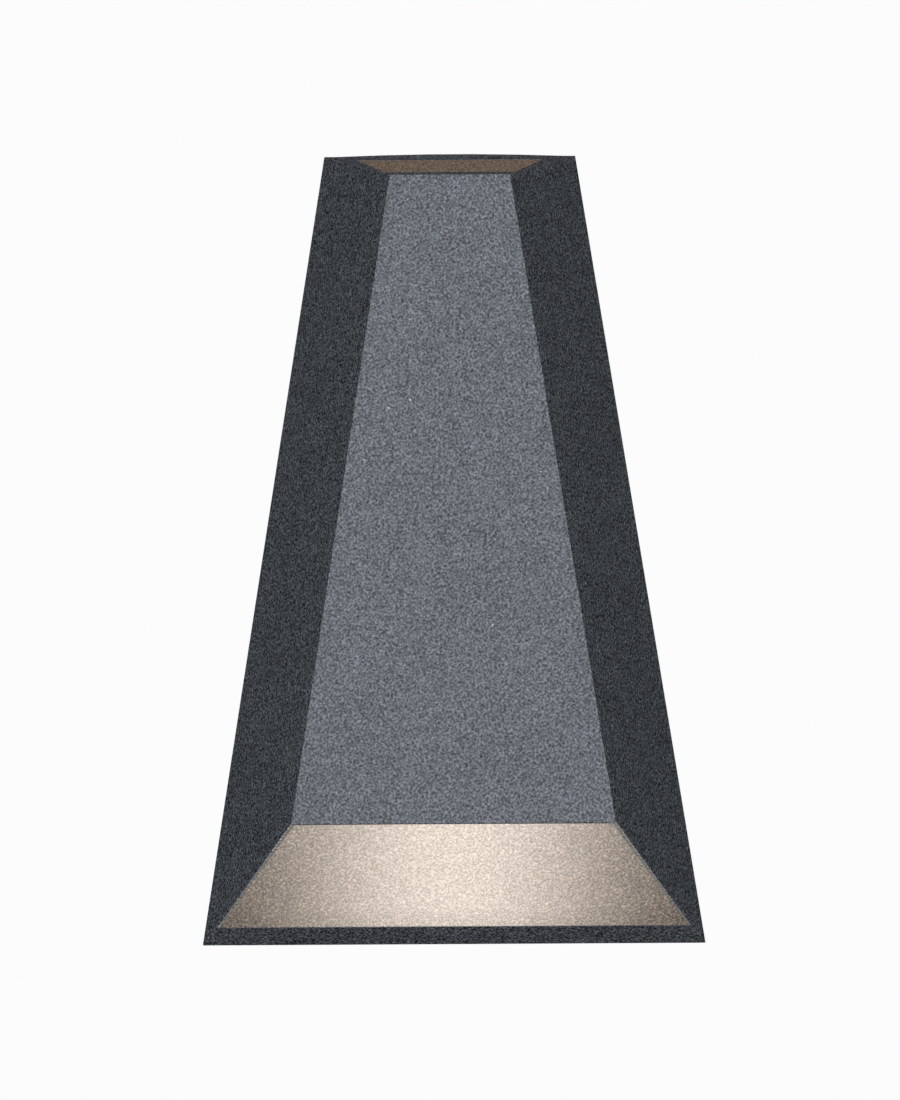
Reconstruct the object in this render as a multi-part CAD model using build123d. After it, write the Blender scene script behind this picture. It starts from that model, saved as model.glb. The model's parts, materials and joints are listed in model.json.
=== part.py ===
from build123d import *
import os
from dataclasses import dataclass
from math import hypot, sqrt

# Outdoor wall light with a lit window in its lower slope and a small one in its upper slope.
# Millimetres. +Z is up, the wall is the plane Y = 0 and the front panel faces -Y.
# "Depth" is the distance out from the wall, so a point at a depth d has Y = -d.

# Housing, outside
HEIGHT = 250.0
BOTTOM_WIDTH = 154.0
TOP_WIDTH = 79.0
DEPTH = 72.0
SIDE_INSET = 25.2
END_INSET = 25.8
EDGE_RADIUS = 0.3
TOP_CROWN = 0.75
CROWN_SIDE_GAP = 0.35
CROWN_RUN = 9.0
CROWN_ROOT = 2.0

# Housing, inside
SIDE_WALL = 3.2
END_WALL = 8.0
FRONT_WALL = 3.5
LEDGE = 4.5
PILLAR_RADIUS = 4.5
PILLAR_REACH = 24.0
PILLAR_END_GAP = 21.0
FRONT_BOSS_RADIUS = 4.0
FRONT_BOSS_HEIGHT = 5.0

# Windows; starts and lips are measured as depths
DIFFUSER_THICKNESS = 3.0
DIFFUSER_SEAL_THICKNESS = 1.0
DIFFUSER_RECESS = 0.1
WINDOW_LIP = 1.1
WINDOW_LEDGE = 3.0
OPENING_LAND = 4.0
BOTTOM_WINDOW_START = 10.7
BOTTOM_FRONT_LIP = 0.5
TOP_WINDOW_START = 14.0
TOP_FRONT_LIP = 9.5
TOP_REAR_TRIM = 5.2

# Wall bracket and wall seal
BRACKET_THICKNESS = 2.0
BRACKET_WIDTH = 48.0
BRACKET_BEND = 2.5
SHELF_GAP = 1.5
SHELF_DROP = 8.6
WALL_SCREW_SPACING = 120.0
WALL_SLOT_LENGTH = 12.0
WALL_SLOT_WIDTH = 5.0
CABLE_HOLE_RADIUS = 10.0
LUG_WIDTH = 10.0
LUG_START = 3.5
LUG_TIP_GAP = 1.0
WALL_SEAL_DEPTH = 2.0
WALL_SEAL_LIP = 1.2
STUD_RADIUS = 2.0
STUD_LENGTH = 10.0
STUD_EDGE = 9.0
STUD_DROP = 23.0
NUT_ACROSS_FLATS = 7.0
NUT_HEIGHT = 3.2
WASHER_RADIUS = 4.5
WASHER_THICKNESS = 0.8

# Fixing screws in the top strip
FIXING_RADIUS = 2.0
FIXING_LENGTH = 14.0
FIXING_EDGE = 10.0
FIXING_DEPTH = 8.0
FIXING_POINT = 0.5
HEX_KEY = 2.0
HEX_KEY_DEPTH = 3.0

# Lights
SHEET_THICKNESS = 2.0
SHEET_BEND = 3.0
BOARD_THICKNESS = 1.6
BOARD_FOLD_GAP = 2.0
BOARD_SCREW_EDGE = 4.0
LED_STANDOFF = 24.0
CARRIER_REAR_DEPTH = 27.0
CARRIER_LEG = 28.0
CARRIER_EDGE = 2.0
CARRIER_SCREW_END = 10.0
CARRIER_SCREW_EDGE = 7.0
BOTTOM_CARRIER_GAP = 13.5
TOP_CARRIER_GAP = 5.7
LED_WIDTH = 3.5
LED_LENGTH = 2.8
LED_HEIGHT = 0.7
LED_PITCH = 8.0
LEAD_SPACING = 2.6
LEAD_RADIUS = 1.0
LEAD_RISE = 3.0
LEAD_DROP = 12.0
LEAD_RUN_IN = 14.0
LEAD_BEND = 6.0

# Gear tray and driver
TRAY_SEAL_THICKNESS = 1.5
TRAY_THICKNESS = 2.0
DRIVER_LENGTH = 70.0
DRIVER_WIDTH = 34.0
DRIVER_WALL = 1.5
DRIVER_BASE = 2.0
DRIVER_EAR = 8.0
DRIVER_POST = 4.0
DRIVER_POST_RADIUS = 2.0
DRIVER_HEADROOM = 2.9
CIRCUIT_MARGIN = 2.0
TRANSFORMER_WIDTH = 16.0
TRANSFORMER_HEIGHT = 10.0
TRANSFORMER_LENGTH = 18.0
BOBBIN_RADIUS = 8.8
BOBBIN_HEIGHT = 8.0
BOBBIN_LENGTH = 12.0
CAPACITOR_RADIUS = 4.0
CAPACITOR_LENGTH = 9.0
CAPACITOR_SPACING = 12.0
CAPACITOR_GAP = 7.0
CAPACITOR_ROUND = 0.8

# Terminal block and mains wires
TERMINAL_LENGTH = 20.0
TERMINAL_HEIGHT = 12.0
TERMINAL_BOTTOM = 28.0
TERMINAL_SIDE = 4.0
TERMINAL_WEB = 0.5
TERMINAL_CHAMFER = 0.8
CLAMP_SIZE = 6.0
CLAMP_PLAY = 0.5
CLAMP_END_GAP = 1.0
CLAMP_SCREW_SPACING = 8.0
CLAMP_SCREW_LENGTH = 3.2
CLAMP_SCREW_HEAD = 1.9
CLAMP_SCREW_HEAD_HEIGHT = 1.6
WIRE_RADIUS = 1.1
WIRE_INSERT = 7.0
WIRE_BEND = 3.0
WIRE_GAP = 1.4
WIRE_RISE = 2.5
WIRING_GAP = 0.5
GROMMET_X = -8.0
GROMMET_RISE = 10.0
GROMMET_PLAY = 1.3
GROMMET_WALL = 1.8
GROMMET_FLANGE = 2.0
GROMMET_FLANGE_THICKNESS = 1.4
LUG_RING = 4.0
LUG_SHEET = 0.8
LUG_WALL = 0.7
LUG_BARREL_LENGTH = 8.0
LUG_RUN_IN = 1.0
VENT_DROP = 17.0
VENT_RADIUS = 4.0
VENT_FLANGE = 6.5
VENT_FLANGE_THICKNESS = 2.0
VENT_FLANGE_ROUND = 0.6
VENT_BARB = 0.6

# Small screws and fits
SCREW_RADIUS = 1.5
SCREW_HEAD_RIM = 1.25
SCREW_HEAD_HEIGHT = 2.0
SCREW_LENGTH = 10.0
EARTH_SCREW_RADIUS = 2.0
EARTH_SCREW_HEAD_RIM = 1.5
EARTH_SCREW_LENGTH = 6.0
CROSS_WIDTH = 0.8
CROSS_REACH = 1.2
CLEARANCE_HOLE = 0.2
THREAD_GAP = 0.05
SLIDE_GAP = 0.1
FIT_GAP = 0.2
CUT_PAST = 1.0

# Worked out from the sizes above: slopes and walls
MID_HALF_WIDTH = (BOTTOM_WIDTH + TOP_WIDTH) / 4
TAPER = (BOTTOM_WIDTH - TOP_WIDTH) / 2 / HEIGHT
END_LENGTH = hypot(DEPTH, END_INSET)
END_COS = DEPTH / END_LENGTH
END_SIN = END_INSET / END_LENGTH
SIDE_FACTOR = sqrt(1 + TAPER**2 + (SIDE_INSET / DEPTH) ** 2)
REBATE = DIFFUSER_RECESS + DIFFUSER_THICKNESS + DIFFUSER_SEAL_THICKNESS
CAVITY_FRONT = DEPTH - FRONT_WALL
CARRIER_FRONT = CAVITY_FRONT - FRONT_BOSS_HEIGHT

# Worked out: the stack from the wall to the driver, as depths
TERMINAL_REAR = BRACKET_THICKNESS + WIRING_GAP + SCREW_HEAD_HEIGHT
TRAY_REAR = TERMINAL_REAR + TERMINAL_HEIGHT
TRAY_FRONT = TRAY_REAR + TRAY_THICKNESS
POCKET_DEPTH = TRAY_FRONT + TRAY_SEAL_THICKNESS
DRIVER_FLOOR = TRAY_FRONT + DRIVER_BASE
CIRCUIT_DEPTH = DRIVER_FLOOR + DRIVER_POST
CIRCUIT_FRONT = CIRCUIT_DEPTH + BOARD_THICKNESS
DRIVER_ROOF = CIRCUIT_FRONT + max(TRANSFORMER_HEIGHT, CAPACITOR_LENGTH) + DRIVER_HEADROOM
DRIVER_FRONT = DRIVER_ROOF + DRIVER_WALL
LEAD_DEPTH = CIRCUIT_FRONT + LEAD_RISE
CLAMP_DEPTH = TRAY_REAR - TERMINAL_HEIGHT / 2
SHELF_REACH = TRAY_REAR - SHELF_GAP
LUG_END = SHELF_REACH - LUG_TIP_GAP

# Worked out: places on the bracket and the tray
SHELF_TOP = HEIGHT / 2 - END_INSET * FIXING_DEPTH / DEPTH - END_WALL / END_COS - SHELF_DROP
FIXING_X = BRACKET_WIDTH / 2 - FIXING_EDGE
STUD_X = BRACKET_WIDTH / 2 - STUD_EDGE
STUD_Z = SHELF_TOP - STUD_DROP
SCREW_HEAD = SCREW_RADIUS + SCREW_HEAD_RIM
EARTH_SCREW_HEAD = EARTH_SCREW_RADIUS + EARTH_SCREW_HEAD_RIM
DRIVER_END = DRIVER_LENGTH / 2 + DRIVER_EAR
POLE_PITCH = CLAMP_SIZE + 2 * (SCREW_RADIUS + TERMINAL_WEB)
TERMINAL_WIDTH = 2 * POLE_PITCH + CLAMP_SIZE + 2 * TERMINAL_SIDE
TERMINAL_TOP = TERMINAL_BOTTOM + TERMINAL_LENGTH
TERMINAL_SCREW_X = POLE_PITCH / 2
TERMINAL_SCREW_Z = TERMINAL_BOTTOM + TERMINAL_LENGTH / 2
CLAMP_BORE = WIRE_RADIUS + CLAMP_PLAY
WIRE_SPACING = 2 * WIRE_RADIUS + WIRE_GAP
GROMMET_BORE = WIRE_SPACING / 2 + WIRE_RADIUS + GROMMET_PLAY
GROMMET_RADIUS = GROMMET_BORE + GROMMET_WALL
GROMMET_Z = max(TERMINAL_TOP, DRIVER_END) + GROMMET_RISE
LUG_BARREL = WIRE_RADIUS + LUG_WALL
EARTH_X = POLE_PITCH + WIRE_BEND + LUG_RUN_IN + LUG_BARREL_LENGTH + LUG_RING
VENT_Z = -DRIVER_END - VENT_DROP
CAPACITOR_Z = -TRANSFORMER_LENGTH / 2 - CAPACITOR_RADIUS - CAPACITOR_GAP
SIDE_PLANE = Plane(origin=(0, 0, 0), x_dir=(0, -1, 0), z_dir=(-1, 0, 0))


@dataclass(frozen=True)
class End:
    """One sloped end of the housing, with its window and its lights."""

    sign: int
    window_start: float
    front_lip: float
    rear_trim: float
    carrier_gap: float


BOTTOM = End(-1, BOTTOM_WINDOW_START, BOTTOM_FRONT_LIP, 0.0, BOTTOM_CARRIER_GAP)
TOP = End(1, TOP_WINDOW_START, TOP_FRONT_LIP, TOP_REAR_TRIM, TOP_CARRIER_GAP)


def half_width(z, depth):
    """Half of the housing's width at a height and a depth."""
    return MID_HALF_WIDTH - TAPER * z - SIDE_INSET * depth / DEPTH


def end_height(depth):
    """Height of the top slope at a depth; the bottom slope mirrors it."""
    return HEIGHT / 2 - END_INSET * depth / DEPTH


def section(depth, side=0.0, end=0.0):
    """The housing's outline at a depth, moved in by a side wall and an end wall."""
    top = end_height(depth) - end / END_COS
    low = half_width(-top, depth) - side * SIDE_FACTOR
    high = half_width(top, depth) - side * SIDE_FACTOR
    corners = [(-low, -top), (low, -top), (high, top), (-high, top)]
    return Plane.XZ.offset(depth) * Polygon(*corners, align=None)


def frustum(near, far):
    """Solid between two sections, each given as (depth, side wall, end wall)."""
    return loft([section(*near), section(*far)], ruled=True)


def point(x, depth, z):
    """A point at a depth from the wall."""
    return Vector(x, -depth, z)


def block(x, depth, z):
    """A box from three (low, high) ranges."""
    size = (x[1] - x[0], depth[1] - depth[0], z[1] - z[0])
    middle = point((x[0] + x[1]) / 2, (depth[0] + depth[1]) / 2, (z[0] + z[1]) / 2)
    return Pos(*middle) * Box(*size)


def rod(start, finish, radius):
    """A round bar between two points."""
    run = finish - start
    seat = (Align.CENTER, Align.CENTER, Align.MIN)
    return Plane(origin=start, z_dir=run) * Cylinder(radius, run.length, align=seat)


def bar(x, z, near, far, radius):
    """A round bar square to the wall between two depths."""
    return rod(point(x, near, z), point(x, far, z), radius)


def tube(points, radius, bend):
    """A wire along straight runs joined by arcs."""
    path = FilletPolyline(*points, radius=bend)
    return sweep(Plane(origin=path @ 0, z_dir=path % 0) * Circle(radius), path)


def folded_sheet(points, thickness, bend, width):
    """A bent sheet from its middle line in (depth, height) and its width."""
    path = FilletPolyline(*points, radius=bend)
    return extrude(SIDE_PLANE * trace(path, thickness), amount=width / 2, both=True)


def pan_screw(seat, radius, length, head_radius, head_height=SCREW_HEAD_HEIGHT):
    """A cross-head screw whose head stands on the seat plane."""
    low = (Align.CENTER, Align.CENTER, Align.MIN)
    high = (Align.CENTER, Align.CENTER, Align.MAX)
    head = Cylinder(head_radius, head_height, align=low)
    head = fillet(head.edges().group_by(Axis.Z)[-1], head_height / 2)
    shank = Cylinder(radius, length, align=high)
    arm = head_radius * CROSS_REACH
    cut = Box(arm, CROSS_WIDTH, head_height, align=low) + Box(CROSS_WIDTH, arm, head_height, align=low)
    return seat * (head + shank - Pos(0, 0, head_height / 2) * cut)


def facing_wall(x, depth, z):
    """A seat plane whose head faces the wall."""
    return Plane(origin=point(x, depth, z), z_dir=(0, 1, 0))


def facing_front(x, depth, z):
    """A seat plane whose head faces the front."""
    return Plane(origin=point(x, depth, z), z_dir=(0, -1, 0))


def end_directions(end):
    """Unit vectors of a slope: from the wall to the front, and outwards."""
    return Vector(0, -END_COS, -end.sign * END_SIN), Vector(0, -END_SIN, end.sign * END_COS)


def end_point(end, x, along, inside):
    """A point on a slope, some way along it from the wall and some way inside it."""
    run, outward = end_directions(end)
    return Vector(x, 0, end.sign * HEIGHT / 2) + run * along - outward * inside


def end_plane(end, inside=0.0):
    """Plane of a slope: Y runs from the wall to the front and Z points outwards."""
    run, outward = end_directions(end)
    return Plane(origin=end_point(end, 0, 0, inside), x_dir=run.cross(outward), z_dir=outward)


def along_end(depth, inside=0.0):
    """Distance along a slope at which a point inside it lies at a depth."""
    return (depth + inside * END_SIN) / END_COS


def window_face(end, inset, rear=None):
    """A window's outline on its slope, moved in on all sides, with its rear edge set if given."""
    start = along_end(end.window_start)
    finish = along_end(DEPTH - end.front_lip)
    rear_half = half_width(end.sign * end_height(end.window_start), end.window_start) - end.rear_trim
    front_depth = DEPTH - end.front_lip
    front_half = half_width(end.sign * end_height(front_depth), front_depth)
    slope = (rear_half - front_half) / (finish - start)
    step = (WINDOW_LIP + inset) * hypot(1, slope)
    low = start + inset if rear is None else rear
    high = finish - inset
    low_half = front_half + slope * (finish - low) - step
    high_half = front_half + slope * (finish - high) - step
    return Polygon((-low_half, low), (low_half, low), (high_half, high), (-high_half, high), align=None)


def opening_face(end, grow=0.0):
    """The through opening behind a window, on the floor of its rebate."""
    rear = max(along_end(POCKET_DEPTH + OPENING_LAND, REBATE), along_end(end.window_start) + WINDOW_LEDGE)
    return window_face(end, WINDOW_LEDGE - grow, rear - grow)


def slab(end, face, outer, inner):
    """A plate on a slope between two distances inside it."""
    return extrude(end_plane(end, outer) * face, amount=outer - inner)


def pillar_places():
    """Where the tray is screwed down: (x, z) on both sides at three heights."""
    high = end_height(POCKET_DEPTH) - END_WALL / END_COS - PILLAR_END_GAP
    places = []
    for z in (-high, 0.0, high):
        x = half_width(z, POCKET_DEPTH) - SIDE_WALL * SIDE_FACTOR - PILLAR_RADIUS - FIT_GAP
        places += [(-x, z), (x, z)]
    return places


SHEET_INSIDE = LED_STANDOFF + BOARD_THICKNESS + SHEET_THICKNESS / 2
LEG_DEPTH = CARRIER_FRONT - SHEET_THICKNESS / 2
SHEET_REAR = along_end(CARRIER_REAR_DEPTH, SHEET_INSIDE)
SHEET_FOLD = along_end(LEG_DEPTH, SHEET_INSIDE)
BOARD_LENGTH = SHEET_FOLD - SHEET_REAR - CARRIER_EDGE - BOARD_FOLD_GAP
BOARD_MIDDLE = SHEET_REAR + CARRIER_EDGE + BOARD_LENGTH / 2
LED_ROW_GAP = BOARD_LENGTH / 2


def carrier_line(end):
    """Middle line of a light carrier: (depth, z) of its leg's end, its fold and its rear end."""
    fold = end_point(end, 0, SHEET_FOLD, SHEET_INSIDE)
    rear = end_point(end, 0, SHEET_REAR, SHEET_INSIDE)
    return (LEG_DEPTH, fold.Z - end.sign * CARRIER_LEG), (LEG_DEPTH, fold.Z), (-rear.Y, rear.Z)


def carrier_width(end):
    """Width of a light carrier, clear of the side walls at its fold."""
    fold_z = carrier_line(end)[1][1]
    room = half_width(fold_z, CARRIER_FRONT) - SIDE_WALL * SIDE_FACTOR
    return 2 * (room - end.carrier_gap)


def board_width(end):
    """Width of a light board on its carrier."""
    return carrier_width(end) - 2 * CARRIER_EDGE


def carrier_screw_places(end):
    """Where a light carrier is screwed to the front bosses: (x, z)."""
    z = carrier_line(end)[0][1] + end.sign * CARRIER_SCREW_END
    x = carrier_width(end) / 2 - CARRIER_SCREW_EDGE
    return [(-x, z), (x, z)]


def board_screw_places(end):
    """Where a light board is screwed to its carrier: (x, along the slope)."""
    x = board_width(end) / 2 - BOARD_SCREW_EDGE
    return [(-x, BOARD_MIDDLE), (x, BOARD_MIDDLE)]


def lead_places():
    """X of the two leads to a light board."""
    return (-LEAD_SPACING / 2, LEAD_SPACING / 2)


def lead_lines(end):
    """Routes of the two leads from the driver to a light board."""
    start_z = end.sign * (DRIVER_LENGTH / 2 - DRIVER_WALL)
    turn_z = end.sign * (DRIVER_LENGTH / 2 + LEAD_DROP)
    for x in lead_places():
        yield [
            point(x, LEAD_DEPTH, start_z),
            point(x, LEAD_DEPTH, turn_z),
            end_point(end, x, BOARD_MIDDLE, LED_STANDOFF + LEAD_RUN_IN),
            end_point(end, x, BOARD_MIDDLE, LED_STANDOFF),
        ]


def lead_holes(end, outer, inner):
    """Cutters for the two leads through a sheet on a slope."""
    holes = []
    for x in lead_places():
        near = end_point(end, x, BOARD_MIDDLE, outer - CUT_PAST)
        far = end_point(end, x, BOARD_MIDDLE, inner + CUT_PAST)
        holes.append(rod(near, far, LEAD_RADIUS + CLEARANCE_HOLE))
    return holes


def wall_bracket():
    """Folded plate that is screwed to the wall, with a shelf and a tongue for the housing."""
    middle = BRACKET_THICKNESS / 2
    high = SHELF_TOP - middle
    outline = [(SHELF_REACH, high), (middle, high), (middle, -high), (SHELF_REACH, -high)]
    plate = folded_sheet(outline, BRACKET_THICKNESS, BRACKET_BEND, BRACKET_WIDTH)
    for z in (-WALL_SCREW_SPACING / 2, WALL_SCREW_SPACING / 2):
        slot = Pos(0, z) * SlotOverall(WALL_SLOT_LENGTH, WALL_SLOT_WIDTH, rotation=90)
        plate -= extrude(Plane.XZ * slot, amount=BRACKET_THICKNESS + CUT_PAST, both=True)
    plate -= bar(0, 0, -CUT_PAST, BRACKET_THICKNESS + CUT_PAST, CABLE_HOLE_RADIUS)
    plate -= bar(STUD_X, STUD_Z, -CUT_PAST, BRACKET_THICKNESS + CUT_PAST, STUD_RADIUS + THREAD_GAP)
    return plate


def bracket_earth_nut():
    """Hexagon nut on the earth stud."""
    seat = facing_front(STUD_X, BRACKET_THICKNESS + WASHER_THICKNESS, STUD_Z)
    hexagon = RegularPolygon(NUT_ACROSS_FLATS / 2, 6, major_radius=False)
    return extrude(seat * (hexagon - Circle(STUD_RADIUS + THREAD_GAP)), amount=NUT_HEIGHT)


def bracket_earth_washer():
    """Plain washer under the earth nut."""
    near = BRACKET_THICKNESS
    far = near + WASHER_THICKNESS
    ring = bar(STUD_X, STUD_Z, near, far, WASHER_RADIUS)
    return ring - bar(STUD_X, STUD_Z, near, far, STUD_RADIUS + FIT_GAP)


def top_crown():
    """Low rise along the top's rear edge, which runs out into the slope ahead of it."""
    half = half_width(HEIGHT / 2, CROWN_RUN) - CROWN_SIDE_GAP
    top = HEIGHT / 2
    root = top - CROWN_ROOT
    bow = ThreePointArc((-half, top), (0, top + TOP_CROWN), (half, top))
    base = Polyline((half, top), (half, root), (-half, root), (-half, top))
    near = Plane.XZ * make_face(bow + base)
    fall = CROWN_RUN * END_INSET / DEPTH + TOP_CROWN
    run = Vector(0, -CROWN_RUN, -fall)
    return extrude(near, amount=run.length, dir=run.normalized())


def housing():
    """Die-cast body with its windows, ledges, bosses and screw holes."""
    outer = frustum((0,), (DEPTH,))
    front_edges = outer.edges().filter_by(lambda edge: edge.center().Y < -EDGE_RADIUS)
    outer = fillet(front_edges, EDGE_RADIUS) + top_crown()
    pocket = frustum((-CUT_PAST, SIDE_WALL, END_WALL), (POCKET_DEPTH, SIDE_WALL, END_WALL))
    cavity_rear = (POCKET_DEPTH, SIDE_WALL + LEDGE, END_WALL + LEDGE)
    cavity = frustum(cavity_rear, (CAVITY_FRONT, SIDE_WALL, END_WALL))
    body = outer - (pocket + cavity)

    # Pillars for the tray screws run into the sloping sides
    core = frustum((POCKET_DEPTH, SIDE_WALL / 2, END_WALL / 2), (CAVITY_FRONT, SIDE_WALL / 2, END_WALL / 2))
    for x, z in pillar_places():
        body += bar(x, z, POCKET_DEPTH, POCKET_DEPTH + PILLAR_REACH, PILLAR_RADIUS) & core
    for x, z in pillar_places():
        reach = TRAY_REAR + SCREW_LENGTH + CUT_PAST
        body -= bar(x, z, TRAY_FRONT, reach, SCREW_RADIUS + THREAD_GAP)

    # Bosses behind the front panel carry the light carriers
    for end in (BOTTOM, TOP):
        for x, z in carrier_screw_places(end):
            body += bar(x, z, CARRIER_FRONT, CAVITY_FRONT + FRONT_WALL / 2, FRONT_BOSS_RADIUS)
            reach = CARRIER_FRONT + FRONT_BOSS_HEIGHT + CUT_PAST
            body -= bar(x, z, CARRIER_FRONT - CUT_PAST, reach, SCREW_RADIUS + THREAD_GAP)

    # Lugs under the bracket's tongue
    floor_walls = (SIDE_WALL, END_WALL - CUT_PAST)
    floor_zone = frustum((LUG_START, *floor_walls), (LUG_END, *floor_walls))
    lug_z = (-HEIGHT / 2, -SHELF_TOP - SLIDE_GAP)
    for x in (-FIXING_X, FIXING_X):
        lug = block((x - LUG_WIDTH / 2, x + LUG_WIDTH / 2), (LUG_START, LUG_END), lug_z)
        body += lug & floor_zone

    # Windows: a rebate for the diffuser and a straight opening into the body
    reach = (END_WALL + LEDGE - REBATE) / END_COS + CUT_PAST
    for end in (BOTTOM, TOP):
        body -= slab(end, window_face(end, 0.0), -CUT_PAST, REBATE)
        mouth = end_plane(end, REBATE - CUT_PAST / 2) * opening_face(end)
        body -= extrude(mouth, amount=reach, dir=(0, 0, -end.sign))

    # Threaded holes for the fixing screws, and the groove of the wall seal
    for x in (-FIXING_X, FIXING_X):
        low = point(x, FIXING_DEPTH, SHELF_TOP)
        high = point(x, FIXING_DEPTH, HEIGHT / 2 + TOP_CROWN + CUT_PAST)
        body -= rod(low, high, FIXING_RADIUS + THREAD_GAP)
    lip_walls = (WALL_SEAL_LIP, WALL_SEAL_LIP)
    groove = frustum((-CUT_PAST, *lip_walls), (WALL_SEAL_DEPTH, *lip_walls))
    island_walls = (SIDE_WALL + CUT_PAST, SIDE_WALL)
    groove -= frustum((-2 * CUT_PAST, *island_walls), (WALL_SEAL_DEPTH + CUT_PAST, *island_walls))
    return body - groove


def wall_seal():
    """Foam ring in the groove of the rear rim."""
    lip = WALL_SEAL_LIP + SLIDE_GAP
    ring = frustum((0, lip, lip), (WALL_SEAL_DEPTH, lip, lip))
    walls = (SIDE_WALL - SLIDE_GAP, SIDE_WALL - SLIDE_GAP)
    return ring - frustum((-CUT_PAST, *walls), (WALL_SEAL_DEPTH + CUT_PAST, *walls))


def fixing_screw(side):
    """Grub screw whose tip stands on the bracket's shelf."""
    x = side * FIXING_X
    foot = point(x, FIXING_DEPTH, SHELF_TOP)
    head = point(x, FIXING_DEPTH, SHELF_TOP + FIXING_LENGTH)
    screw = rod(foot, head, FIXING_RADIUS)
    screw = chamfer(screw.edges().group_by(Axis.Z)[0], FIXING_POINT)
    socket = Plane(origin=head, z_dir=(0, 0, 1)) * RegularPolygon(HEX_KEY / 2, 6, major_radius=False)
    return screw - extrude(socket, amount=-HEX_KEY_DEPTH)


def diffuser(end):
    """Opal pane that lies in a window's rebate."""
    return slab(end, window_face(end, FIT_GAP), DIFFUSER_RECESS, DIFFUSER_RECESS + DIFFUSER_THICKNESS)


def diffuser_seal(end):
    """Flat ring between a diffuser and the floor of its rebate."""
    outline = window_face(end, FIT_GAP) - opening_face(end, FIT_GAP)
    return slab(end, outline, REBATE - DIFFUSER_SEAL_THICKNESS, REBATE)


def led_carrier(end):
    """Folded aluminium sheet that holds a light board and takes its heat to the front panel."""
    sheet = folded_sheet(carrier_line(end), SHEET_THICKNESS, SHEET_BEND, carrier_width(end))
    for x, z in carrier_screw_places(end):
        near = CARRIER_FRONT - SHEET_THICKNESS - CUT_PAST
        sheet -= bar(x, z, near, CARRIER_FRONT + CUT_PAST, SCREW_RADIUS + CLEARANCE_HOLE)
    outer = LED_STANDOFF + BOARD_THICKNESS
    inner = outer + SHEET_THICKNESS
    for x, along in board_screw_places(end):
        near = end_point(end, x, along, outer - CUT_PAST)
        far = end_point(end, x, along, inner + CUT_PAST)
        sheet -= rod(near, far, SCREW_RADIUS + THREAD_GAP)
    for hole in lead_holes(end, outer, inner):
        sheet -= hole
    return sheet


def carrier_screws(end):
    """Screws of a light carrier into the front bosses."""
    seat_depth = CARRIER_FRONT - SHEET_THICKNESS
    length = SHEET_THICKNESS + FRONT_BOSS_HEIGHT
    seats = [facing_wall(x, seat_depth, z) for x, z in carrier_screw_places(end)]
    return [pan_screw(seat, SCREW_RADIUS, length, SCREW_HEAD) for seat in seats]


def led_board(end):
    """Circuit board of the lights."""
    face = Pos(0, BOARD_MIDDLE) * Rectangle(board_width(end), BOARD_LENGTH)
    outer = LED_STANDOFF
    inner = outer + BOARD_THICKNESS
    board = slab(end, face, outer, inner)
    for x, along in board_screw_places(end):
        near = end_point(end, x, along, outer - CUT_PAST)
        far = end_point(end, x, along, inner + CUT_PAST)
        board -= rod(near, far, SCREW_RADIUS + CLEARANCE_HOLE)
    for hole in lead_holes(end, outer, inner):
        board -= hole
    return board


def board_screws(end):
    """Screws of a light board, heads towards the window."""
    length = BOARD_THICKNESS + SHEET_THICKNESS
    screws = []
    for x, along in board_screw_places(end):
        seat = Plane(origin=end_point(end, x, along, LED_STANDOFF), z_dir=end_directions(end)[1])
        screws.append(pan_screw(seat, SCREW_RADIUS, length, SCREW_HEAD))
    return screws


def leds(end):
    """Two rows of lights on a board."""
    chip = Rectangle(LED_WIDTH, LED_LENGTH)
    columns = int(board_width(end) // LED_PITCH)
    chips = []
    for row in (-0.5, 0.5):
        for column in range(columns):
            x = (column - (columns - 1) / 2) * LED_PITCH
            face = Pos(x, BOARD_MIDDLE + row * LED_ROW_GAP) * chip
            chips.append(slab(end, face, LED_STANDOFF - LED_HEIGHT, LED_STANDOFF))
    return chips


def led_leads(end):
    """Two wires from the driver to a light board."""
    return [tube(line, LEAD_RADIUS, LEAD_BEND) for line in lead_lines(end)]


def gear_tray():
    """Plate that closes the body at the back and carries the gear."""
    outline = section(TRAY_FRONT, SIDE_WALL + FIT_GAP, END_WALL + FIT_GAP)
    tray = extrude(outline, amount=-TRAY_THICKNESS)
    near = TRAY_REAR - CUT_PAST
    far = TRAY_FRONT + CUT_PAST
    holes = [(x, z, SCREW_RADIUS + CLEARANCE_HOLE) for x, z in pillar_places()]
    holes += [(0, z, SCREW_RADIUS + THREAD_GAP) for z in driver_screw_heights()]
    holes.append((TERMINAL_SCREW_X, TERMINAL_SCREW_Z, SCREW_RADIUS + THREAD_GAP))
    holes.append((GROMMET_X, GROMMET_Z, GROMMET_RADIUS + SLIDE_GAP))
    holes.append((EARTH_X, GROMMET_Z, EARTH_SCREW_RADIUS + THREAD_GAP))
    holes.append((0, VENT_Z, VENT_RADIUS + SLIDE_GAP))
    for x, z, radius in holes:
        tray -= bar(x, z, near, far, radius)
    return tray


def gear_tray_seal():
    """Flat ring between the tray and the ledge, with lobes round the pillars."""
    outline = section(POCKET_DEPTH, SIDE_WALL + FIT_GAP, END_WALL + FIT_GAP)
    ring = outline - section(POCKET_DEPTH, SIDE_WALL + LEDGE, END_WALL + LEDGE)
    seal = extrude(ring, amount=-TRAY_SEAL_THICKNESS)
    for x, z in pillar_places():
        seal += bar(x, z, TRAY_FRONT, POCKET_DEPTH, PILLAR_RADIUS)
    for x, z in pillar_places():
        seal -= bar(x, z, TRAY_FRONT - CUT_PAST, POCKET_DEPTH + CUT_PAST, SCREW_RADIUS + CLEARANCE_HOLE)
    return seal


def gear_tray_screws():
    """Screws of the tray into the pillars."""
    seats = [facing_wall(x, TRAY_REAR, z) for x, z in pillar_places()]
    return [pan_screw(seat, SCREW_RADIUS, SCREW_LENGTH, SCREW_HEAD) for seat in seats]


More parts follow.
